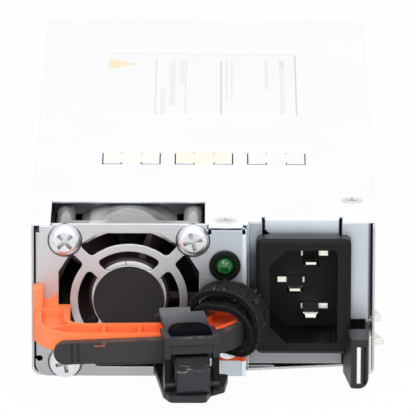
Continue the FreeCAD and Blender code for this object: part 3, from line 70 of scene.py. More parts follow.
# ---------------------------------------------------------------- view, lamps and floor
IMAGE_SIZE = 416             # pixels along each side
SENSOR_WIDTH = 36            # mm
FOCAL_PIXELS = 7446.0        # focal length, in pixels of the image
VIEW_DISTANCE = 1.871        # from the camera to the foot of the front plate
VIEW_CLIP = (0.1, 20)        # nearest and furthest that the camera sees
VIEW_ELEVATION = 17.41       # degrees, as the next two
VIEW_AZIMUTH = 0.07
VIEW_ROLL = 0.15
FOOT_PIXEL = (203.0, 376.0)  # where the foot of the front plate falls in the image
LAMPS = (                    # name, place, target, size, watts
    ("key", (-0.5, -1.1, 1.1), (0, 0, 0.02), (0.8, 0.8), 9),
    ("top", (0.05, 0.0, 1.3), (0, 0, 0.03), (1.2, 1.0), 3.5),
    ("fill", (0.6, -1.3, 0.9), (0, -0.05, 0.02), (0.6, 0.6), 6),
    ("front", (-0.1, -1.6, 0.3), (0, -0.05, 0.02), (1.4, 0.4), 4))
WORLD_STRENGTH = 0.5         # of the light from all round
FLOOR_SIZE = 3
FLOOR_GAP = 0.0002           # from the object down to the floor
FLOOR_GLOW = 0.975           # share of plain white in the floor, where the camera sees it

# ---------------------------------------------------------------- grain of the finishes
GRAIN = 2600                 # cells per metre of moulded plastic's fine texture
CLOUD = 60                   # cells per metre of slow changes in colour and sheen
GRAIN_DEPTH = 0.000012
EDGE = 0.0003                # radius that rounds the pieces' sharp edges
GRAIN_STRETCH = {"x": (0.04, 1, 1), "y": (1, 0.04, 1)}    # of rolled sheet, along its grain

# ---------------------------------------------------------------- places that are painted
# Cover: lanced tongues, and the floors of its pressed grooves, where shade is painted
TONGUE_SPAN = (-0.0417, -0.0312)
LEFT_TONGUE, MIDDLE_TONGUE = (-0.0258, -0.0114), (-0.0072, 0.0072)
GROOVE_LEVEL = (0.0388, 0.03992)
# Front plate: a range of two numbers is where the paint fades in or out
# The foot gets painted shade, and the right fold, from PLATE_FOLD on, painted light
PLATE_FOOT = (0.002, 0.016)
PLATE_MIDDLE_START, PLATE_MIDDLE_END = (-0.003, 0.004), (0.009, 0.0105)
PLATE_FOLD = 0.0098
PLATE_EDGE = 0.00025         # radius of the painted highlights on its cut edges
FAN_SCREW = 0.016            # fan screws from the fan's axis, along X and Z
SCREW_GAP = (0.0036, 0.00435)
# Inlet panel
PANEL_NARROW, PANEL_SHADE, PANEL_FOOT = (0.0145, 0.0165), (0.031, 0.0355), 0.0066
# Fan frame: its outside, where the cover's window shows it, gets painted reflections
BARREL_GAP = 0.0006          # its painted grey reflections start this far beyond the rotor
BARREL_FOOT = 0.0345         # and above this height, where the cover's window shows it
BARREL_RIGHT = (-0.0095, -0.006)
SHEEN_START, SHEEN_END = (-0.0288, -0.028), (-0.0265, -0.0235)
CROWN = (0.0075, 0.009)      # painted highlight on the middle of the upright walls, from the fan's axis
# Handle: painted light at its free tip, and deeper, redder painted shade towards the loop
HANDLE_TIP, HANDLE_DEEP = (-0.043, -0.028), (-0.024, 0.0)
# Clamp and pawl, in the clamp's own frame: a painted highlight on the lip, painted shade on the
# posts
CLAMP_PIVOT = (-3.6, -117.0)             # mm
CLAMP_YAW = math.radians(8)
CLAMP_LIP, CLAMP_LIP_FADE = 0.0203, (-0.1146, -0.106)
CLAMP_FOOT = 0.0066
CLAMP_POSTS, CLAMP_POST_SIDE = (0.0066, 0.0152), 0.0048
CLAMP_SCUFFS, CLAMP_FRONT = (0.0203, 0.0209), -0.1229
PAWL_SLOPE, PAWL_WANDER = 0.0131, 0.0006
PAWL_SCRATCHES = ((0.01275, 0.0131), (0.0135, 0.01368))
# Strap, whose heights are taken above a line that climbs with it
STRAP_START, STRAP_CLIMB = -0.0283, 0.0384
# its top rim gets a painted highlight, brown from the orange handle beside it
STRAP_RIM = (0.01695, 0.0173)
STRAP_SCRATCH = (((-0.0269, -0.0243), (0.0161, 0.0164)), ((-0.0246, -0.0243), (0.0161, 0.0173)))
STRAP_SHADED = (-0.0092, 0.0017)
# Capacitors: polarity stripe
STRIPE = (0.018, 0.0205)

# Ruled bars of the labels: x0, x1, y0, y1 in mm, and the ink
PALE_INK, GREY_INK, DARK_INK = (0.86, 0.87, 0.885), (0.79, 0.79, 0.8), (0.64, 0.64, 0.66)
LABEL_MARKS = (
    (-13.1, -12.7, 0.0, 54.3, GREY_INK), (-11.6, -10.4, 1.0, 26.0, PALE_INK),
    (-9.3, -7.7, 10.2, 52.4, PALE_INK), (-6.6, -5.4, 29.7, 52.4, PALE_INK),
    (-5.1, -4.8, 1.0, 52.4, GREY_INK), (4.2, 4.6, 0.3, 52.0, DARK_INK),
    (5.7, 6.0, 17.7, 52.0, GREY_INK), (7.1, 7.4, 15.0, 52.0, GREY_INK),
    (15.9, 17.0, 25.3, 52.7, PALE_INK), (19.9, 21.1, 44.9, 52.7, GREY_INK),
    (19.9, 21.1, 0.5, 44.0, PALE_INK), (24.0, 24.35, 0.5, 58.5, DARK_INK),
    (-26.0, 24.4, 58.2, 58.7, PALE_INK), (-12.7, 24.3, 2.3, 2.7, PALE_INK))
AMBER_INK, GREEN_INK = (0.97, 0.84, 0.66), (0.3, 0.42, 0.4)
AMBER_MARKS = tuple((x, x + 0.5, 0.0, 60.0, AMBER_INK)
                    for x in (-25.2, -24.1, -23.0, -21.9, -20.8, -19.7))
HUB_MARKS = ((-19.6, -19.25, -100.0, 0.0, GREEN_INK),)

# ---------------------------------------------------------------- own pieces, in mm
# Thumb pad of the clamp, in the clamp's own frame
PAD_LOW, PAD_HIGH = (-8.75, -123.1), (1.55, -113.9)
PAD_TOP, PAD_FOOT = 21.75, 20.6
PAD_DROP = 0.45              # from its top to its rim
PAD_ARCH = 0.5               # share of its depth by which the back edge curves forward
PAD_COLUMNS, PAD_ROWS = 24, 8
RIM_LEAST, RIM_SLOPE = 0.02, 4           # how fast the top rises from its rim
# Hook and loop strap, wound round the right arc of the handle
LOOP_PIVOT = (-7.9, -97.3)   # centre of the arc, seen from above
LOOP_TURN = math.radians(-18)            # how far the strap has slid round the arc
# X, Z and radius of the four corners of its path, from the lower left one, before it slides
LOOP_CORNERS = ((0.1, 12.9, 1.8), (13.1, 12.9, 2.4), (13.1, 23.7, 6.4), (0.1, 23.7, 4.6))
CORNER_STEPS = 18
LOOP_SAG = 2.3               # how far the inner wrap hangs below the outer one at the top
SAG_CORNER, SAG_TIGHTER = 3, 0.9         # the left one is tightened by this share of the sag
LOOP_WIDTH, LOOP_LAYER = 8.4, 1.55       # one wrap, with its pile
EDGE_RADIUS, EDGE_STEPS = 0.55, 4        # roundness of its four edges
SIDE_SHARES = (-0.6, -0.2, 0.2, 0.6)     # points across its flat sides, joined in this order
LOOP_GAP = 0.05              # between the wraps
LOOP_STEPS, LOOP_START = 220, 62         # steps in one turn, and the step at the inner end
LOOP_TURNS, LOOP_LIFT = 1.6, 0.86        # turns in all, and the turn at which the second rises
TAPER_LEAST, TAPER_STEPS = 0.25, 6       # thickness at the ends, and how fast it grows
SLIP, SLIP_WAVE = 0.25, 0.05             # how far the wraps stray sideways, and how often
PILE_OUT, PILE_ASIDE = 0.09, 0.1         # unevenness of the pile
PILE_ALONG, PILE_ACROSS, PILE_THROUGH, PILE_WRAP = 0.35, 1.3, 2, 9      # and how fast it varies
SEED = 7
BODY_FACE = 2e-6             # m2, more than any face of the strap but its two ends
FIBRES, LINT_EVERY = 9000, 150           # one fibre in so many is lint
FIBRE_LENGTH, FIBRE_WIDTH = (0.35, 0.95), 0.045
LINT_LENGTH, LINT_WIDTH = 0.9, 0.09
FIBRE_ROOT = 0.05            # how deep a fibre stands in the strap
FIBRE_KNEE = 0.55            # where a fibre bends, as a share of its length
FIBRE_LEAN, FIBRE_BEND = 0.55, 0.5       # how far it leans from upright, and sways at its knee


# ---------------------------------------------------------------- camera, lamps and new objects
def make_camera():
    """Long lens, looking down at the front from a little above."""
    angles = (VIEW_ELEVATION, VIEW_AZIMUTH, VIEW_ROLL)
    elevation, azimuth, roll = (math.radians(angle) for angle in angles)
    back = Vector((math.sin(azimuth) * math.cos(elevation),
                   -math.cos(azimuth) * math.cos(elevation), math.sin(elevation)))
    level = Vector((math.cos(azimuth), math.sin(azimuth), 0))
    right = math.cos(roll) * level + math.sin(roll) * back.cross(level)
    up = back.cross(right)
    foot = Vector((0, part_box("front_plate")[0].y, 0))
    across, down = ((pixel - IMAGE_SIZE / 2) / FOCAL_PIXELS * VIEW_DISTANCE for pixel in FOOT_PIXEL)
    lens = bpy.data.cameras.new("camera")
    lens.sensor_width = SENSOR_WIDTH
    lens.lens = FOCAL_PIXELS / IMAGE_SIZE * SENSOR_WIDTH
    lens.clip_start, lens.clip_end = VIEW_CLIP
    camera = bpy.data.objects.new("camera", lens)
    place = foot - across * right + down * up + VIEW_DISTANCE * back
    axes = Matrix((right, up, back)).transposed().to_4x4()
    camera.matrix_world = Matrix.Translation(place) @ axes
    scene.collection.objects.link(camera)
    scene.camera = camera


def area_light(name, place, target, size, watts):
    """Soft oblong lamp that faces a target point."""
    lamp = bpy.data.lights.new(name, "AREA")
    lamp.shape, lamp.size, lamp.size_y = "RECTANGLE", size[0], size[1]
    lamp.energy = watts
    light = bpy.data.objects.new(name, lamp)
    light.location = place
    light.rotation_euler = (Vector(place) - Vector(target)).to_track_quat("Z", "Y").to_euler()
    scene.collection.objects.link(light)


def new_piece(name, mesh, *materials):
    """Object in the scene made of a finished bmesh, which it uses up."""
    data = bpy.data.meshes.new(name)
    mesh.to_mesh(data)
    mesh.free()
    for material in materials:
        data.materials.append(material)
    piece = bpy.data.objects.new(name, data)
    scene.collection.objects.link(piece)
    return piece


# ---------------------------------------------------------------- shader nodes
def add(tree, kind, inputs=None, **attributes):
    """Shader node with its settings, and its inputs given as values or as sockets to link."""
    node = tree.nodes.new("ShaderNode" + kind)
    for name, value in attributes.items():
        setattr(node, name, value)
    for name, value in (inputs or {}).items():
        if isinstance(value, bpy.types.NodeSocket):
            tree.links.new(value, node.inputs[name])
        else:
            node.inputs[name].default_value = value
    return node


def math_node(tree, operation, first, second=0.5):
    """Math node's result, from sockets or numbers."""
    return add(tree, "Math", {0: first, 1: second}, operation=operation).outputs[0]


def above(tree, value, level):
    """1 where the value is more than a number."""
    return math_node(tree, "GREATER_THAN", value, level)


def below(tree, value, level):
    """1 where the value is less than a number."""
    return math_node(tree, "LESS_THAN", value, level)


def times(tree, first, *others):
    """Product of several masks."""
    for other in others:
        first = math_node(tree, "MULTIPLY", first, other)
    return first


def between(tree, value, low, high):
    """1 where the value lies between two numbers."""
    return times(tree, above(tree, value, low), below(tree, value, high))


def oblong(tree, first, second, first_span, second_span):
    """1 where each of two values lies in its span."""
    return times(tree, between(tree, first, *first_span), between(tree, second, *second_span))


def distance(tree, value, place):
    """How far the value is from a number, either way."""
    return math_node(tree, "ABSOLUTE", math_node(tree, "SUBTRACT", value, place))


def spread(tree, value, low, high, start=0.3, end=0.7):
    """Value mapped from start..end to low..high."""
    inputs = {"Value": value, "From Min": start, "From Max": end, "To Min": low, "To Max": high}
    return add(tree, "MapRange", inputs).outputs[0]


def rising(tree, value, start=0.3, end=0.7):
    """0 up to the start, growing to 1 at the end, by default over the usual range of noise."""
    return spread(tree, value, 0, 1, start, end)


def falling(tree, value, start, end):
    """1 up to the start, shrinking to 0 at the end."""
    return spread(tree, value, 1, 0, start, end)


def tint(tree, factor, first, second):
    """Colour between two colours."""
    node = add(tree, "Mix", data_type="RGBA")
    tree.links.new(factor, node.inputs["Factor"])
    for name, colour in (("A", first), ("B", second)):
        socket = next(s for s in node.inputs if s.name == name and s.type == "RGBA")
        if isinstance(colour, bpy.types.NodeSocket):
            tree.links.new(colour, socket)
        else:
            socket.default_value = (*colour, 1)
    return next(s for s in node.outputs if s.type == "RGBA")


def painted(tree, colour, layers):
    """Colour with layers over it, each a mask and its own colour."""
    for mask, shade in layers:
        colour = tint(tree, mask, colour, shade)
    return colour


def grid_point(tree, stretch=(1, 1, 1)):
    """Point on the object in metres, stretched along the axes."""
    place = add(tree, "TexCoord").outputs["Object"]
    return add(tree, "Mapping", {"Vector": place, "Scale": stretch}).outputs[0]


def parts_of(tree, point=None):
    """X, Y and Z of a point, which is the point on the object unless another is given."""
    return add(tree, "SeparateXYZ", {"Vector": point or grid_point(tree)}).outputs


def clamp_point(tree):
    """X, Y and Z in the frame of the clamp, which stands askew on the handle's bar."""
    centre = (CLAMP_PIVOT[0] * MM, CLAMP_PIVOT[1] * MM, 0)
    inputs = {"Vector": grid_point(tree), "Center": centre, "Angle": -CLAMP_YAW}
    return parts_of(tree, add(tree, "VectorRotate", inputs, rotation_type="Z_AXIS").outputs[0])


def fan_offset(tree):
    """Distances of the point on the object from the fan's axis, along X and along Z."""
    x, _, z = parts_of(tree)
    low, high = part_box("fan_rotor")
    return distance(tree, x, (low.x + high.x) / 2), distance(tree, z, (low.z + high.z) / 2)


def noise(tree, scale, detail=3.0, stretch=(1, 1, 1), roughness=0.5):
    """Cloudy noise, with scale in cells per metre."""
    inputs = {"Vector": grid_point(tree, stretch), "Scale": scale, "Detail": detail,
              "Roughness": roughness}
    return add(tree, "TexNoise", inputs).outputs[0]


def cells(tree, scale, output="Distance"):
    """Voronoi cells, with scale in cells per metre."""
    inputs = {"Vector": grid_point(tree), "Scale": scale}
    return add(tree, "TexVoronoi", inputs, feature="F1").outputs[output]


def facing(tree, axis, least=0.8):
    """1 where the surface faces along an axis, either way."""
    normal = parts_of(tree, add(tree, "NewGeometry").outputs["True Normal"])[axis]
    return above(tree, math_node(tree, "ABSOLUTE", normal), least)


def rounded_normal(tree, radius):
    """Normal that rounds off the edges of a sharp mesh."""
    return add(tree, "Bevel", {"Radius": radius}, samples=4).outputs[0]


def alignment(tree, first, second):
    """Dot product of two directions."""
    vectors = {0: first, 1: second}
    return add(tree, "VectorMath", vectors, operation="DOT_PRODUCT").outputs["Value"]


def painted_edge_highlight(tree, radius=EDGE):
    """1 along sharp edges, where a rounded normal leaves the true one: where edge highlights are
    painted.
    """
    flat = add(tree, "NewGeometry").outputs["True Normal"]
    return falling(tree, alignment(tree, rounded_normal(tree, radius), flat), 0.86, 0.985)


def bump(tree, height, depth, radius=0.0):
    """Normal with a height pattern of this depth, over edges of this radius."""
    inputs = {"Height": height, "Distance": depth, "Strength": 1.0}
    if radius:
        inputs["Normal"] = rounded_normal(tree, radius)
    return add(tree, "Bump", inputs).outputs[0]


def seen_directly(tree):
    """1 for camera, glossy and transmission rays, and 0 for the rays that carry light."""
    path = add(tree, "LightPath").outputs
    some = math_node(tree, "MAXIMUM", path["Is Camera Ray"], path["Is Glossy Ray"])
    return math_node(tree, "MAXIMUM", some, path["Is Transmission Ray"])


def new_material(name, **settings):
    """Principled material with plain settings on the shader's own sockets."""
    material = bpy.data.materials.new(name)
    material.use_nodes = True
    tree = material.node_tree
    shader = tree.nodes["Principled BSDF"]
    for key, value in settings.items():
        shader.inputs[key.replace("_", " ")].default_value = value
    return material, tree, shader


def link(tree, shader, **sockets):
    """Links sockets to the shader's inputs by name."""
    for key, socket in sockets.items():
        tree.links.new(socket, shader.inputs[key.replace("_", " ")])


# ---------------------------------------------------------------- stage
def make_world():
    """Plain soft light from all round, seen as white behind the object."""
    world = bpy.data.worlds.new("studio")
    world.use_nodes = True
    scene.world = world
    tree = world.node_tree
    tree.nodes.clear()
    light = add(tree, "Background", {"Color": (0.96, 0.98, 1, 1), "Strength": WORLD_STRENGTH})
    white = add(tree, "Background", {"Color": (1, 1, 1, 1), "Strength": 1.0})
    inputs = {"Fac": seen_directly(tree), 1: light.outputs[0], 2: white.outputs[0]}
    add(tree, "OutputWorld", {"Surface": add(tree, "MixShader", inputs).outputs[0]})


def make_floor():
    """Pale floor that keeps the object's soft shadow."""
    material, tree, _ = new_material("floor_white")
    tree.nodes.clear()
    matt = add(tree, "BsdfDiffuse", {"Color": (0.8, 0.8, 0.8, 1)})
    glow = add(tree, "Emission", {"Color": (1, 1, 1, 1), "Strength": 1.0})
    share = times(tree, seen_directly(tree), FLOOR_GLOW)
    inputs = {"Fac": share, 1: matt.outputs[0], 2: glow.outputs[0]}
    add(tree, "OutputMaterial", {"Surface": add(tree, "MixShader", inputs).outputs[0]})
    mesh = bmesh.new()
    bmesh.ops.create_grid(mesh, x_segments=1, y_segments=1, size=FLOOR_SIZE)
    floor = new_piece("floor", mesh, material)
    floor.location.z = cad_box[0].z - FLOOR_GAP


# ---------------------------------------------------------------- painted marks
def cover_marks(tree):
    """Warm tints on lanced tongues, painted shade in grooves, and cool painted shade on front
    folds.
    """
    x, y, z = parts_of(tree)
    flat = facing(tree, Z)
    left, middle = (times(tree, flat, oblong(tree, x, y, span, TONGUE_SPAN))
                    for span in (LEFT_TONGUE, MIDDLE_TONGUE))
    groove = times(tree, flat, between(tree, z, *GROOVE_LEVEL))
    # painted shade: dark groove floors, and a cooler, darker tint on faces turned to the front
    return ((left, (0.95, 0.91, 0.87)), (middle, (0.96, 0.9, 0.79)),
            (groove, (0.35, 0.35, 0.34)), (facing(tree, Y), (0.8, 0.86, 0.93)))


def plate_marks(tree):
    """Painted shade at the foot, a duller middle, painted light, and shadow gaps round the fan
    screws.
    """
    x, _, z = parts_of(tree)
    across, up = (math_node(tree, "SUBTRACT", offset, FAN_SCREW) for offset in fan_offset(tree))
    from_screw = add(tree, "CombineXYZ", {"X": across, "Y": up}).outputs[0]
    screw = add(tree, "VectorMath", {0: from_screw}, operation="LENGTH").outputs["Value"]
    middle = times(tree, rising(tree, x, *PLATE_MIDDLE_START), falling(tree, x, *PLATE_MIDDLE_END))
    # painted shade darkens the foot; painted light brightens the right fold and the cut edges
    return ((falling(tree, z, *PLATE_FOOT), (0.4, 0.4, 0.41)),
            (middle, (0.5, 0.545, 0.59)),
            (above(tree, x, PLATE_FOLD), (0.72, 0.79, 0.86)),
            (painted_edge_highlight(tree, PLATE_EDGE), (0.97, 0.97, 0.98)),
            (between(tree, screw, *SCREW_GAP), (0.07, 0.07, 0.065)))


def base_marks(tree):
    """Painted shade on the folds at the front and rear, and painted highlights on cut edges."""
    return (facing(tree, Y), (0.52, 0.53, 0.545)), (painted_edge_highlight(tree), (0.86, 0.88, 0.9))


def panel_marks(tree):
    """Painted shade from its folds on the narrow part and at the foot, and painted highlit cut
    edges.
    """
    x, _, z = parts_of(tree)
    narrow = falling(tree, x, *PANEL_NARROW)
    # painted shade: the narrow part, deeper low down, and the foot; painted highlights on cut edges
    return ((narrow, (0.38, 0.42, 0.47)),
            (times(tree, narrow, falling(tree, z, *PANEL_SHADE)), (0.1, 0.115, 0.13)),
            (below(tree, z, PANEL_FOOT), (0.26, 0.265, 0.28)),
            (painted_edge_highlight(tree), (0.86, 0.88, 0.9)))


def clamp_marks(tree):
    """Painted highlight on the lip, painted shade on the posts, a dark foot, and scuffs on the
    band.
    """
    x, y, z = clamp_point(tree)
    lip = times(tree, above(tree, z, CLAMP_LIP), rising(tree, y, *CLAMP_LIP_FADE))
    from_middle = distance(tree, x, CLAMP_PIVOT[0] * MM)
    posts = times(tree, between(tree, z, *CLAMP_POSTS), above(tree, from_middle, CLAMP_POST_SIDE))
    scuffs = times(tree, between(tree, z, *CLAMP_SCUFFS), below(tree, y, CLAMP_FRONT),
                   rising(tree, noise(tree, 1500, 3, (0.3, 1, 1)), 0.5, 0.62))
    return ((lip, (0.13, 0.13, 0.142)), (posts, (0.004, 0.004, 0.0045)),
            (scuffs, (0.09, 0.088, 0.09)), (below(tree, z, CLAMP_FOOT), (0.034, 0.033, 0.038)))


def pawl_marks(tree):
    """Dark slope, and pale scratches along the front edge."""
    _, _, z = clamp_point(tree)
    wander = spread(tree, noise(tree, 330, 4), -PAWL_WANDER, PAWL_WANDER)
    height = math_node(tree, "ADD", z, wander)
    lines = (between(tree, height, *span) for span in PAWL_SCRATCHES)
    wear_and_sheen = rising(tree, noise(tree, 900, 3, (0.4, 1, 1)), 0.46, 0.6)
    return ((above(tree, z, PAWL_SLOPE), (0.011, 0.011, 0.0135)),
            (times(tree, math_node(tree, "MAXIMUM", *lines), wear_and_sheen), (0.2, 0.195, 0.2)))


def strap_marks(tree):
    """Shade behind the clamp, a painted brown highlight on the top edge, and a small orange
    scratch.
    """
    x, _, z = parts_of(tree)
    climb = times(tree, math_node(tree, "SUBTRACT", x, STRAP_START), STRAP_CLIMB)
    height = math_node(tree, "SUBTRACT", z, climb)
    wear_and_sheen = rising(tree, noise(tree, 420, 4, (0.5, 1, 1)), 0.42, 0.6)
    lines = (oblong(tree, x, height, *spans) for spans in STRAP_SCRATCH)
    scratch = times(tree, math_node(tree, "MAXIMUM", *lines), facing(tree, Y, 0.5))
    # painted shade behind the clamp; the brown rim is a painted highlight reflecting the orange
    return ((between(tree, x, *STRAP_SHADED), (0.006, 0.006, 0.0065)),
            (times(tree, rising(tree, height, *STRAP_RIM), wear_and_sheen), (0.13, 0.07, 0.055)),
            (scratch, (0.42, 0.1, 0.06)))


# ---------------------------------------------------------------- materials
def sheet_steel(name, bright, dull, grain, roughness, spangle, marks=None):
    """Zinc plated sheet: rolling grain, spangle, small changes of sheen, and marks over them."""
    material, tree, shader = new_material(name, Metallic=1.0)
    rolled = noise(tree, 9000, 2, GRAIN_STRETCH[grain])
    cloud = noise(tree, 45, 4)
    crystal = add(tree, "RGBToBW", {"Color": cells(tree, 260, "Color")}).outputs[0]
    mottle = math_node(tree, "ADD", spread(tree, cloud, 0.0, 0.6),
                       spread(tree, crystal, 0.0, spangle, 0, 1))
    colour = painted(tree, tint(tree, mottle, bright, dull), marks(tree) if marks else ())
    sheen = math_node(tree, "ADD", spread(tree, rolled, -0.05, 0.06),
                      spread(tree, cloud, roughness, roughness + 0.1))
    link(tree, shader, Base_Color=colour, Roughness=sheen,
         Normal=bump(tree, rolled, 0.000003, EDGE))
    return material


def moulded(name, colour, shade, roughness, grain=GRAIN, depth=GRAIN_DEPTH, radius=EDGE,
            specular=0.35):
    """Moulded plastic with a fine spark-eroded texture and faint flow marks."""
    material, tree, shader = new_material(name, Specular_IOR_Level=specular)
    fine, cloud = noise(tree, grain, 2), noise(tree, CLOUD, 3)
    sheen = math_node(tree, "ADD", spread(tree, cloud, roughness - 0.04, roughness + 0.06),
                      spread(tree, fine, -0.04, 0.04))
    link(tree, shader, Base_Color=tint(tree, rising(tree, cloud), colour, shade), Roughness=sheen,
         Normal=bump(tree, fine, depth, radius))
    return material


def nylon(name, colour, shade, roughness, specular, depth, marks):
    """Black nylon with a fine grain, and marks over its colour."""
    material, tree, shader = new_material(name, Specular_IOR_Level=specular)
    fine = noise(tree, GRAIN, 2)
    plain = tint(tree, rising(tree, noise(tree, CLOUD)), colour, shade)
    link(tree, shader, Base_Color=painted(tree, plain, marks(tree)),
         Roughness=spread(tree, fine, *roughness), Normal=bump(tree, fine, depth, EDGE))
    return material


def polished(name, colour, shade, roughness, depth=0.0000015):
    """Plated small part: bright metal with light scuffs, and painted shade in its recesses."""
    material, tree, shader = new_material(name, Metallic=1.0)
    scuff = noise(tree, 1500, 4, roughness=0.6)
    # painted shade: recesses that ambient occlusion finds are darkened
    openness = add(tree, "AmbientOcclusion", {"Distance": 0.0012}, samples=6, only_local=True)
    recess = rising(tree, openness.outputs["AO"], 0.35, 0.8)
    metal = tint(tree, rising(tree, scuff), colour, shade)
    link(tree, shader, Base_Color=tint(tree, recess, (0.36, 0.345, 0.32), metal),
         Roughness=spread(tree, scuff, roughness, roughness + 0.1),
         Normal=bump(tree, scuff, depth, EDGE / 2))
    return material


def orange_plastic(name):
    """Handle's orange plastic: painted light at its free end, painted shade, deeper and redder, by
    the loop.
    """
    material, tree, shader = new_material(name, Specular_IOR_Level=0.12)
    fine, cloud = noise(tree, GRAIN, 2), noise(tree, CLOUD, 3)
    along = parts_of(tree)[X]
    # free tip lighter as a painted highlight; the loop end deeper and redder as painted shade
    free = tint(tree, cloud, (1.0, 0.24, 0.078), (0.99, 0.215, 0.066))
    free = tint(tree, falling(tree, along, *HANDLE_TIP), free, (1.0, 0.28, 0.12))
    deep = tint(tree, cloud, (1.0, 0.14, 0.038), (0.97, 0.12, 0.03))
    link(tree, shader, Base_Color=tint(tree, rising(tree, along, *HANDLE_DEEP), free, deep),
         Roughness=spread(tree, cloud, 0.42, 0.52), Normal=bump(tree, fine, GRAIN_DEPTH, EDGE))
    return material


def fan_plastic(name):
    """Fan frame: black plastic, with painted grey reflections where the cover's window shows it."""
    material, tree, shader = new_material(name, Specular_IOR_Level=0.4)
    x, _, z = parts_of(tree)
    aside, up = fan_offset(tree)
    squares = math_node(tree, "ADD", times(tree, aside, aside), times(tree, up, up))
    low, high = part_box("fan_rotor")
    outside = above(tree, math_node(tree, "SQRT", squares), (high.x - low.x) / 2 + BARREL_GAP)
    shown = times(tree, outside, above(tree, z, BARREL_FOOT))
    flow = noise(tree, 110, 3, (1, 3, 1))
    sheen = times(tree, rising(tree, x, *SHEEN_START), falling(tree, x, *SHEEN_END))
    # painted reflections: streaks, lighter to the right, a sheen band, and pale crowns on upright
    # walls
    grey = tint(tree, rising(tree, flow), (0.16, 0.16, 0.165), (0.34, 0.34, 0.34))
    grey = tint(tree, rising(tree, x, *BARREL_RIGHT), grey, (0.36, 0.36, 0.36))
    grey = tint(tree, sheen, grey, (0.62, 0.62, 0.62))
    wall = tint(tree, falling(tree, aside, *CROWN), (0.26, 0.26, 0.285), (0.85, 0.85, 0.85))
    grey = tint(tree, facing(tree, Y, 0.7), grey, wall)
    link(tree, shader, Base_Color=tint(tree, shown, (0.006, 0.006, 0.0065), grey),
         Roughness=spread(tree, flow, 0.14, 0.24),
         Normal=bump(tree, noise(tree, 2400, 2), 0.000004, EDGE))
    return material


def paper(name, colour, shade, marks):
    """Coated label paper with fibres and plain ruled bars."""
    material, tree, shader = new_material(name)
    fibre = noise(tree, 3000, 4)
    x, y, _ = parts_of(tree)
    bars = [(oblong(tree, x, y, (x0 * MM, x1 * MM), (y0 * MM, y1 * MM)), ink)
            for x0, x1, y0, y1, ink in marks]
    plain = tint(tree, rising(tree, fibre), colour, shade)
    link(tree, shader, Base_Color=painted(tree, plain, bars),
         Roughness=spread(tree, fibre, 0.45, 0.55), Normal=bump(tree, fibre, 0.000004))
    return material


def circuit_board(name):
    """Solder mask over copper tracks, with pale pads."""
    material, tree, shader = new_material(name)
    bricks = {"Vector": grid_point(tree), "Color1": (1, 1, 1, 1), "Color2": (0.3, 0.3, 0.3, 1),
              "Mortar": (0, 0, 0, 1), "Scale": 90.0, "Mortar Size": 0.06, "Brick Width": 0.9,
              "Row Height": 0.22}
    track = add(tree, "TexBrick", bricks).outputs["Fac"]
    pads = below(tree, cells(tree, 330), 0.16)
    mask = tint(tree, track, (0.012, 0.11, 0.045), (0.02, 0.19, 0.08))
    link(tree, shader, Base_Color=tint(tree, pads, mask, (0.62, 0.6, 0.5)), Metallic=pads,
         Roughness=spread(tree, noise(tree, 700), 0.25, 0.4),
         Normal=bump(tree, track, 0.00002, 0.0002))
    return material


def capacitor(name, sleeve, stripe):
    """Shrunk sleeve with a polarity stripe, and a bare aluminium end."""
    material, tree, shader = new_material(name)
    end = facing(tree, Y)
    side = tint(tree, between(tree, parts_of(tree)[X], *STRIPE), sleeve, stripe)
    scuff = noise(tree, 900, 4)
    link(tree, shader, Base_Color=tint(tree, end, side, (0.72, 0.73, 0.75)), Metallic=end,
         Roughness=spread(tree, scuff, 0.28, 0.42), Normal=bump(tree, scuff, 0.00001, 0.0004))
    return material


def winding(name, colour, shade, wire):
    """Enamelled wire laid turn beside turn, of this thickness."""
    material, tree, shader = new_material(name, Metallic=0.85, Roughness=0.3)
    waves = {"Vector": grid_point(tree), "Scale": 0.314 / wire, "Distortion": 0.6, "Detail": 1.0}
    turns = add(tree, "TexWave", waves, bands_direction="X").outputs["Fac"]
    link(tree, shader, Base_Color=tint(tree, turns, shade, colour),
         Normal=bump(tree, turns, wire * 0.4))
    return material


def clear_lens(name, colour):
    """Tinted clear resin."""
    material, tree, shader = new_material(name, Transmission_Weight=0.7, IOR=1.5,
                                          Coat_Weight=0.3, Coat_Roughness=0.03)
    swirl = noise(tree, 500, 2)
    shade = tuple(part * 0.7 for part in colour)
    link(tree, shader, Base_Color=tint(tree, rising(tree, swirl), colour, shade),
         Roughness=spread(tree, swirl, 0.04, 0.1), Normal=bump(tree, swirl, 0.00001))
    return material


def fleece(name):
    """Hook and loop tape: dark loops, black cut edges, and paler fuzz by the rims with a painted
    highlight.
    """
    material, tree, shader = new_material(name, Specular_IOR_Level=0.15)
    loops, clumps = cells(tree, 2300), noise(tree, 700, 3)
    normal = add(tree, "NewGeometry").outputs["Normal"]
    width_way = (-math.sin(LOOP_TURN), math.cos(LOOP_TURN), 0)
    edge = math_node(tree, "ABSOLUTE", alignment(tree, normal, width_way))
    black = (0.0035, 0.0035, 0.004)
    pile = tint(tree, rising(tree, loops, 0.1, 0.6), black, (0.018, 0.018, 0.0185))
    # paler rims: fuzz in clumps, and a painted highlight on the rounded edges
    rim = times(tree, rising(tree, edge, 0.3, 0.6), spread(tree, clumps, 0.2, 1, 0.35, 0.65))
    layers = (rim, (0.05, 0.05, 0.058)), (rising(tree, edge, 0.72, 0.86), black)
    link(tree, shader, Base_Color=painted(tree, pile, layers),
         Roughness=spread(tree, clumps, 0.75, 0.95),
         Normal=bump(tree, math_node(tree, "ADD", loops, clumps), 0.0001))
    return material


def lint_material(name):
    """Pale dust and lint caught in the pile."""
    material, tree, shader = new_material(name, Roughness=0.8)
    colour = tint(tree, noise(tree, 900), (0.75, 0.75, 0.78), (0.45, 0.44, 0.46))
    link(tree, shader, Base_Color=colour)
    return material


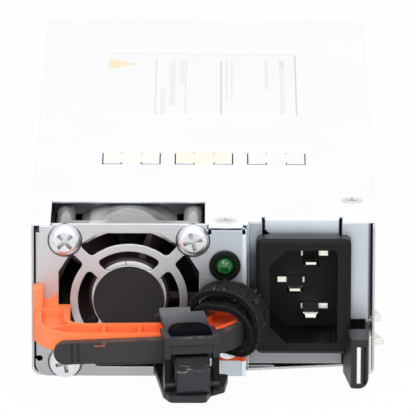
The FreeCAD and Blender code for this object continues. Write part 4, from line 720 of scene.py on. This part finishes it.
def ferrite(name, colour, shade):
    """Pressed powder core, slightly granular."""
    material, tree, shader = new_material(name)
    grain = noise(tree, 2200, 4, roughness=0.7)
    link(tree, shader, Base_Color=tint(tree, rising(tree, grain), colour, shade),
         Roughness=spread(tree, grain, 0.45, 0.65), Normal=bump(tree, grain, 0.00003, EDGE))
    return material


# ---------------------------------------------------------------- finish of each CAD node
def dress(material, *names):
    """Gives these CAD nodes the material."""
    for name in names:
        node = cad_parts[name]
        node.data.materials.clear()
        node.data.materials.append(material)


def dress_metal():
    """Sheet steel, plated parts and wire."""
    # The cover's zinc is a brighter copy of the zinc on the other sheets: painted light, as from
    # above.
    dress(sheet_steel("cover_zinc_painted_bright", (0.915, 0.92, 0.925), (0.875, 0.885, 0.895), "y", 0.38, 0.12,
                      cover_marks), "top_cover")
    dress(sheet_steel("plate_zinc", (0.6, 0.61, 0.63), (0.5, 0.52, 0.545), "x", 0.36, 0.1,
                      plate_marks), "front_plate")
    dress(sheet_steel("base_zinc", (0.61, 0.645, 0.685), (0.51, 0.545, 0.585), "y", 0.34, 0.12,
                      base_marks), "base_chassis", "rear_panel")
    dress(sheet_steel("panel_zinc", (0.58, 0.62, 0.66), (0.49, 0.53, 0.57), "y", 0.34, 0.12,
                      panel_marks), "inlet_panel")
    dress(sheet_steel("arm_steel", (0.9, 0.87, 0.81), (0.82, 0.79, 0.73), "y", 0.34, 0.05),
          "latch_arm", "latch_insert")
    dress(sheet_steel("aluminium", (0.78, 0.79, 0.8), (0.66, 0.67, 0.68), "y", 0.3, 0.02),
          "primary_heatsink", "secondary_heatsink")
    dress(polished("nickel_plate", (0.82, 0.84, 0.87), (0.66, 0.68, 0.72), 0.26),
          "cover_screws", "fan_screws", "handle_screw", "board_screws", "latch_pin",
          "latch_spring", "fan_shaft", "fan_bearings", "board_supports")
    dress(polished("pin_plate", (0.95, 0.91, 0.83), (0.86, 0.82, 0.75), 0.1, 0.0000003),
          "inlet_bars", "inlet_pin_line", "inlet_pin_neutral", "inlet_pin_earth")
    dress(polished("gold_plate", (0.95, 0.68, 0.28), (0.8, 0.55, 0.2), 0.2), "edge_contacts")
    dress(winding("copper_wire", (0.85, 0.36, 0.16), (0.3, 0.1, 0.04), 0.0009),
          "fan_stator", "emi_choke", "pfc_inductor")


def dress_plastic():
    """Mouldings, lens and glass."""
    dress(orange_plastic("orange_plastic"), "pull_handle")
    dress(moulded("black_plastic", (0.012, 0.012, 0.0125), (0.018, 0.018, 0.019), 0.42),
          "release_lever", "bridge_rectifier")
    dress(moulded("bezel_rubber", (0.002, 0.0035, 0.0025), (0.004, 0.0055, 0.0045), 0.35,
                  specular=0.14), "led_bezel")
    dress(moulded("housing_black", (0.004, 0.004, 0.005), (0.007, 0.007, 0.0085), 0.4,
                  specular=0.17), "inlet_housing")
    dress(fan_plastic("fan_frame_plastic"), "fan_frame")
    dress(moulded("rotor_plastic", (0.03, 0.019, 0.018), (0.042, 0.028, 0.026), 0.35), "fan_rotor")
    dress(nylon("strap_nylon", (0.029, 0.0285, 0.031), (0.037, 0.0365, 0.04), (0.38, 0.48), 0.2,
                GRAIN_DEPTH, strap_marks), "retention_strap")
    dress(nylon("clamp_nylon", (0.031, 0.03, 0.034), (0.037, 0.036, 0.041), (0.32, 0.44), 0.15,
                0.000008, clamp_marks), "strap_clamp")
    dress(nylon("pawl_nylon", (0.03, 0.03, 0.035), (0.037, 0.037, 0.043), (0.36, 0.46), 0.2,
                0.00001, pawl_marks), "clamp_pawl", "pawl_pin")
    dress(moulded("cream_plastic", (0.78, 0.72, 0.55), (0.7, 0.64, 0.48), 0.45), "film_capacitors")
    dress(moulded("relay_case", (0.03, 0.09, 0.25), (0.02, 0.07, 0.2), 0.3), "relay")
    dress(moulded("insulator", (0.75, 0.66, 0.3), (0.68, 0.58, 0.25), 0.4, 1500),
          "insulation_sheet")
    dress(capacitor("capacitor_sleeve", (0.015, 0.015, 0.02), (0.5, 0.5, 0.5)),
          "bulk_capacitors", "output_capacitors")
    dress(clear_lens("green_lens", (0.012, 0.33, 0.055)), "status_led")
    dress(clear_lens("glass_tube", (0.9, 0.92, 0.9)), "fuse")


def dress_rest():
    """Labels, boards and cores."""
    dress(paper("label_paper", (0.97, 0.97, 0.97), (0.94, 0.94, 0.94), LABEL_MARKS), "top_label")
    dress(paper("amber_paper", (0.98, 0.85, 0.6), (0.96, 0.82, 0.54), AMBER_MARKS),
          "amber_sticker")
    dress(paper("hub_paper", (1.0, 1.0, 1.0), (0.98, 0.98, 0.98), HUB_MARKS), "fan_hub_label")
    dress(moulded("dark_foil", (0.017, 0.014, 0.016), (0.02, 0.017, 0.019), 0.5, depth=0.000002,
                  radius=0.0, specular=0.25), "grille_disc_label")
    dress(circuit_board("board"), "main_board", "control_board")
    dress(ferrite("ferrite", (0.03, 0.03, 0.032), (0.06, 0.06, 0.062)), "main_transformer")
    dress(ferrite("magnet", (0.05, 0.045, 0.045), (0.09, 0.08, 0.08)), "fan_magnet")


# ---------------------------------------------------------------- own pieces
def turned(pivot, angle, x, y, z):
    """Place in metres of a point in mm, turned about the upright line through a pivot in mm."""
    u, v = x - pivot[0], y - pivot[1]
    return Vector((pivot[0] + u * math.cos(angle) - v * math.sin(angle),
                   pivot[1] + u * math.sin(angle) + v * math.cos(angle), z)) * MM


def loop_outline(outset, sag):
    """Points on the strap's path round the handle, and their outward directions, in order."""
    points = []
    for index, (x, z, radius) in enumerate(LOOP_CORNERS):
        radius -= SAG_TIGHTER * sag if index == SAG_CORNER else 0
        x += radius if index in (0, 3) else -radius
        z += radius if index in (0, 1) else -radius - sag
        for step in range(CORNER_STEPS + 1):
            angle = math.radians(180 + 90 * (index + step / CORNER_STEPS))
            u, v = math.cos(angle), math.sin(angle)
            reach = radius + outset
            points.append((Vector((x + reach * u, z + reach * v)), Vector((u, v))))
    return points


def even_loop(outset, count, sag=0.0):
    """The path's points at even steps along its length."""
    points = loop_outline(outset, sag)
    points.append(points[0])
    lengths = [0.0]
    for (a, _), (b, _) in zip(points, points[1:]):
        lengths.append(lengths[-1] + (b - a).length)
    result = []
    place = 0
    for index in range(count):
        target = lengths[-1] * index / count
        while lengths[place + 1] < target:
            place += 1
        part = (target - lengths[place]) / max(lengths[place + 1] - lengths[place], 1e-9)
        (a, n), (b, m) = points[place], points[place + 1]
        result.append((a.lerp(b, part), n.lerp(m, part).normalized()))
    return result


def strap_section():
    """Rounded section of one wrap: places across the width, and through the thickness."""
    half, thick = LOOP_WIDTH / 2 - EDGE_RADIUS, LOOP_LAYER / 2 - EDGE_RADIUS
    points = []
    for across, out, start in ((half, thick, 0), (-half, thick, 90), (-half, -thick, 180),
                               (half, -thick, 270)):
        for step in range(EDGE_STEPS):
            angle = math.radians(start + 90 * step / (EDGE_STEPS - 1))
            points.append((across + EDGE_RADIUS * math.cos(angle),
                           out + EDGE_RADIUS * math.sin(angle)))
        if start in (0, 180):
            side = points[-1][1]
            points += [(share * across, side) for share in SIDE_SHARES]
    return points


def wrap_rings():
    """Sections of the strap along its whole length, one ring of points for each step."""
    section = strap_section()
    inner = even_loop(LOOP_LAYER / 2, LOOP_STEPS, LOOP_SAG)
    outer = even_loop(LOOP_LAYER * 1.5 + LOOP_GAP, LOOP_STEPS)
    total = int(LOOP_STEPS * LOOP_TURNS)
    rings = []
    for index in range(total):
        place = (index + LOOP_START) % LOOP_STEPS
        wrap = min(max((index - LOOP_STEPS * LOOP_LIFT) / (LOOP_STEPS * (1 - LOOP_LIFT)), 0), 1)
        (a, n), (b, m) = inner[place], outer[place]
        centre, normal = a.lerp(b, wrap), n.lerp(m, wrap).normalized()
        thin = min(1.0, TAPER_LEAST + min(index, total - 1 - index) / TAPER_STEPS)
        slip = SLIP * math.sin(index * SLIP_WAVE) + (SLIP if wrap > 0.5 else -SLIP) * wrap
        ring = []
        for across, out in section:
            spot = Vector((index * PILE_ALONG, across * PILE_ACROSS,
                           out * PILE_THROUGH + wrap * PILE_WRAP))
            rough = mathutils.noise.noise(spot)
            reach = out * thin * (1 + PILE_OUT * rough)
            point = centre + normal * reach
            ring.append(turned(LOOP_PIVOT, LOOP_TURN, point.x,
                               LOOP_PIVOT[1] + across + slip + PILE_ASIDE * rough, point.y))
        rings.append(ring)
    return rings


def add_fibre(mesh, root, normal, length, width, slot):
    """Thin bent blade that stands up from the strap."""
    lean = Vector((random.gauss(0, 1), random.gauss(0, 1), random.gauss(0, 1)))
    rise = (normal + FIBRE_LEAN * lean).normalized()
    aside = rise.cross(lean).normalized() * width / 2
    sway = Vector((random.gauss(0, 1), random.gauss(0, 1), random.gauss(0, 1)))
    bend = (rise + FIBRE_BEND * sway).normalized()
    foot = root - normal * FIBRE_ROOT * MM
    knee = foot + rise * length * FIBRE_KNEE
    tip = knee + bend * length * (1 - FIBRE_KNEE)
    corners = (foot - aside, foot + aside, knee + aside, knee - aside, tip)
    a, b, c, d, e = (mesh.verts.new(corner) for corner in corners)
    for face in (mesh.faces.new((a, b, c, d)), mesh.faces.new((d, c, e))):
        face.material_index = slot


def grow_fibres(mesh):
    """Felt of fine fibres over the strap, with a few longer and wider bits of lint."""
    random.seed(SEED)
    roots = [(face.calc_center_median(), face.normal.copy())
             for face in mesh.faces if face.calc_area() < BODY_FACE]
    for strand in range(FIBRES):
        root, normal = random.choice(roots)
        if strand % LINT_EVERY == 0:
            add_fibre(mesh, root, normal, LINT_LENGTH * MM, LINT_WIDTH * MM, 1)
        else:
            length = random.uniform(*FIBRE_LENGTH)
            add_fibre(mesh, root, normal, length * MM, FIBRE_WIDTH * MM, 0)


def hook_loop():
    """Fuzzy strap wound one and a half times round the handle's right leg."""
    mesh = bmesh.new()
    rows = [[mesh.verts.new(point) for point in ring] for ring in wrap_rings()]
    for near, far in zip(rows, rows[1:]):
        for k in range(len(near)):
            after = (k + 1) % len(near)
            mesh.faces.new((near[k], near[after], far[after], far[k]))
    mesh.faces.new(rows[0][::-1])
    mesh.faces.new(rows[-1])
    bmesh.ops.recalc_face_normals(mesh, faces=mesh.faces)
    for face in mesh.faces:
        face.smooth = True
    mesh.normal_update()
    grow_fibres(mesh)
    strap = new_piece("hook_loop_wraps", mesh, fleece("black_fleece"), lint_material("lint"))
    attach(strap, "case")
    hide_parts("hook_loop_strap")


def pad_rows():
    """Rows of points on the thumb pad's top, from its front edge back, in mm."""
    (left, front), (right, back) = PAD_LOW, PAD_HIGH
    rows = []
    for row in range(PAD_ROWS + 1):
        share = row / PAD_ROWS
        line = []
        for column in range(PAD_COLUMNS + 1):
            across = 2 * column / PAD_COLUMNS - 1
            depth = (back - front) * (1 - PAD_ARCH * abs(across) ** 4)
            from_rim = min(1 - abs(across), share, 1 - share)
            dome = min(1.0, RIM_SLOPE * from_rim + RIM_LEAST)
            line.append(((left + right) / 2 + (right - left) / 2 * across, front + depth * share,
                         PAD_TOP - PAD_DROP * (1 - dome) ** 2))
        rows.append(line)
    return rows


def thumb_pad():
    """Black D of the clamp's thumb pad, with a straight front edge and a domed top, as painted
    shade.
    """
    mesh = bmesh.new()
    rows = [[mesh.verts.new(turned(CLAMP_PIVOT, CLAMP_YAW, *point)) for point in line]
            for line in pad_rows()]
    for near, far in zip(rows, rows[1:]):
        for k in range(PAD_COLUMNS):
            mesh.faces.new((near[k], near[k + 1], far[k + 1], far[k]))
    rim = [edge for edge in mesh.edges if edge.is_boundary]
    for vertex in bmesh.ops.extrude_edge_only(mesh, edges=rim)["geom"]:
        if isinstance(vertex, bmesh.types.BMVert):
            vertex.co.z = PAD_FOOT * MM
    bmesh.ops.holes_fill(mesh, edges=[edge for edge in mesh.edges if edge.is_boundary])
    bmesh.ops.recalc_face_normals(mesh, faces=mesh.faces)
    for face in mesh.faces:
        face.smooth = face.normal.z > 0.5
    # near-black with almost no reflection: painted shade for the dark opening of the clamp
    pad_shade_finish = moulded("pad_painted_shade", (0.003, 0.003, 0.0042), (0.0045, 0.0045, 0.006), 0.3,
                    specular=0.004)
    pad = new_piece("clamp_thumb_pad", mesh, pad_shade_finish)
    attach(pad, "clamp")


# ---------------------------------------------------------------- scene
make_camera()
make_world()
make_floor()
for lamp in LAMPS:
    area_light(*lamp)
dress_metal()
dress_plastic()
dress_rest()
hook_loop()
thumb_pad()
scene.view_settings.view_transform = "Standard"
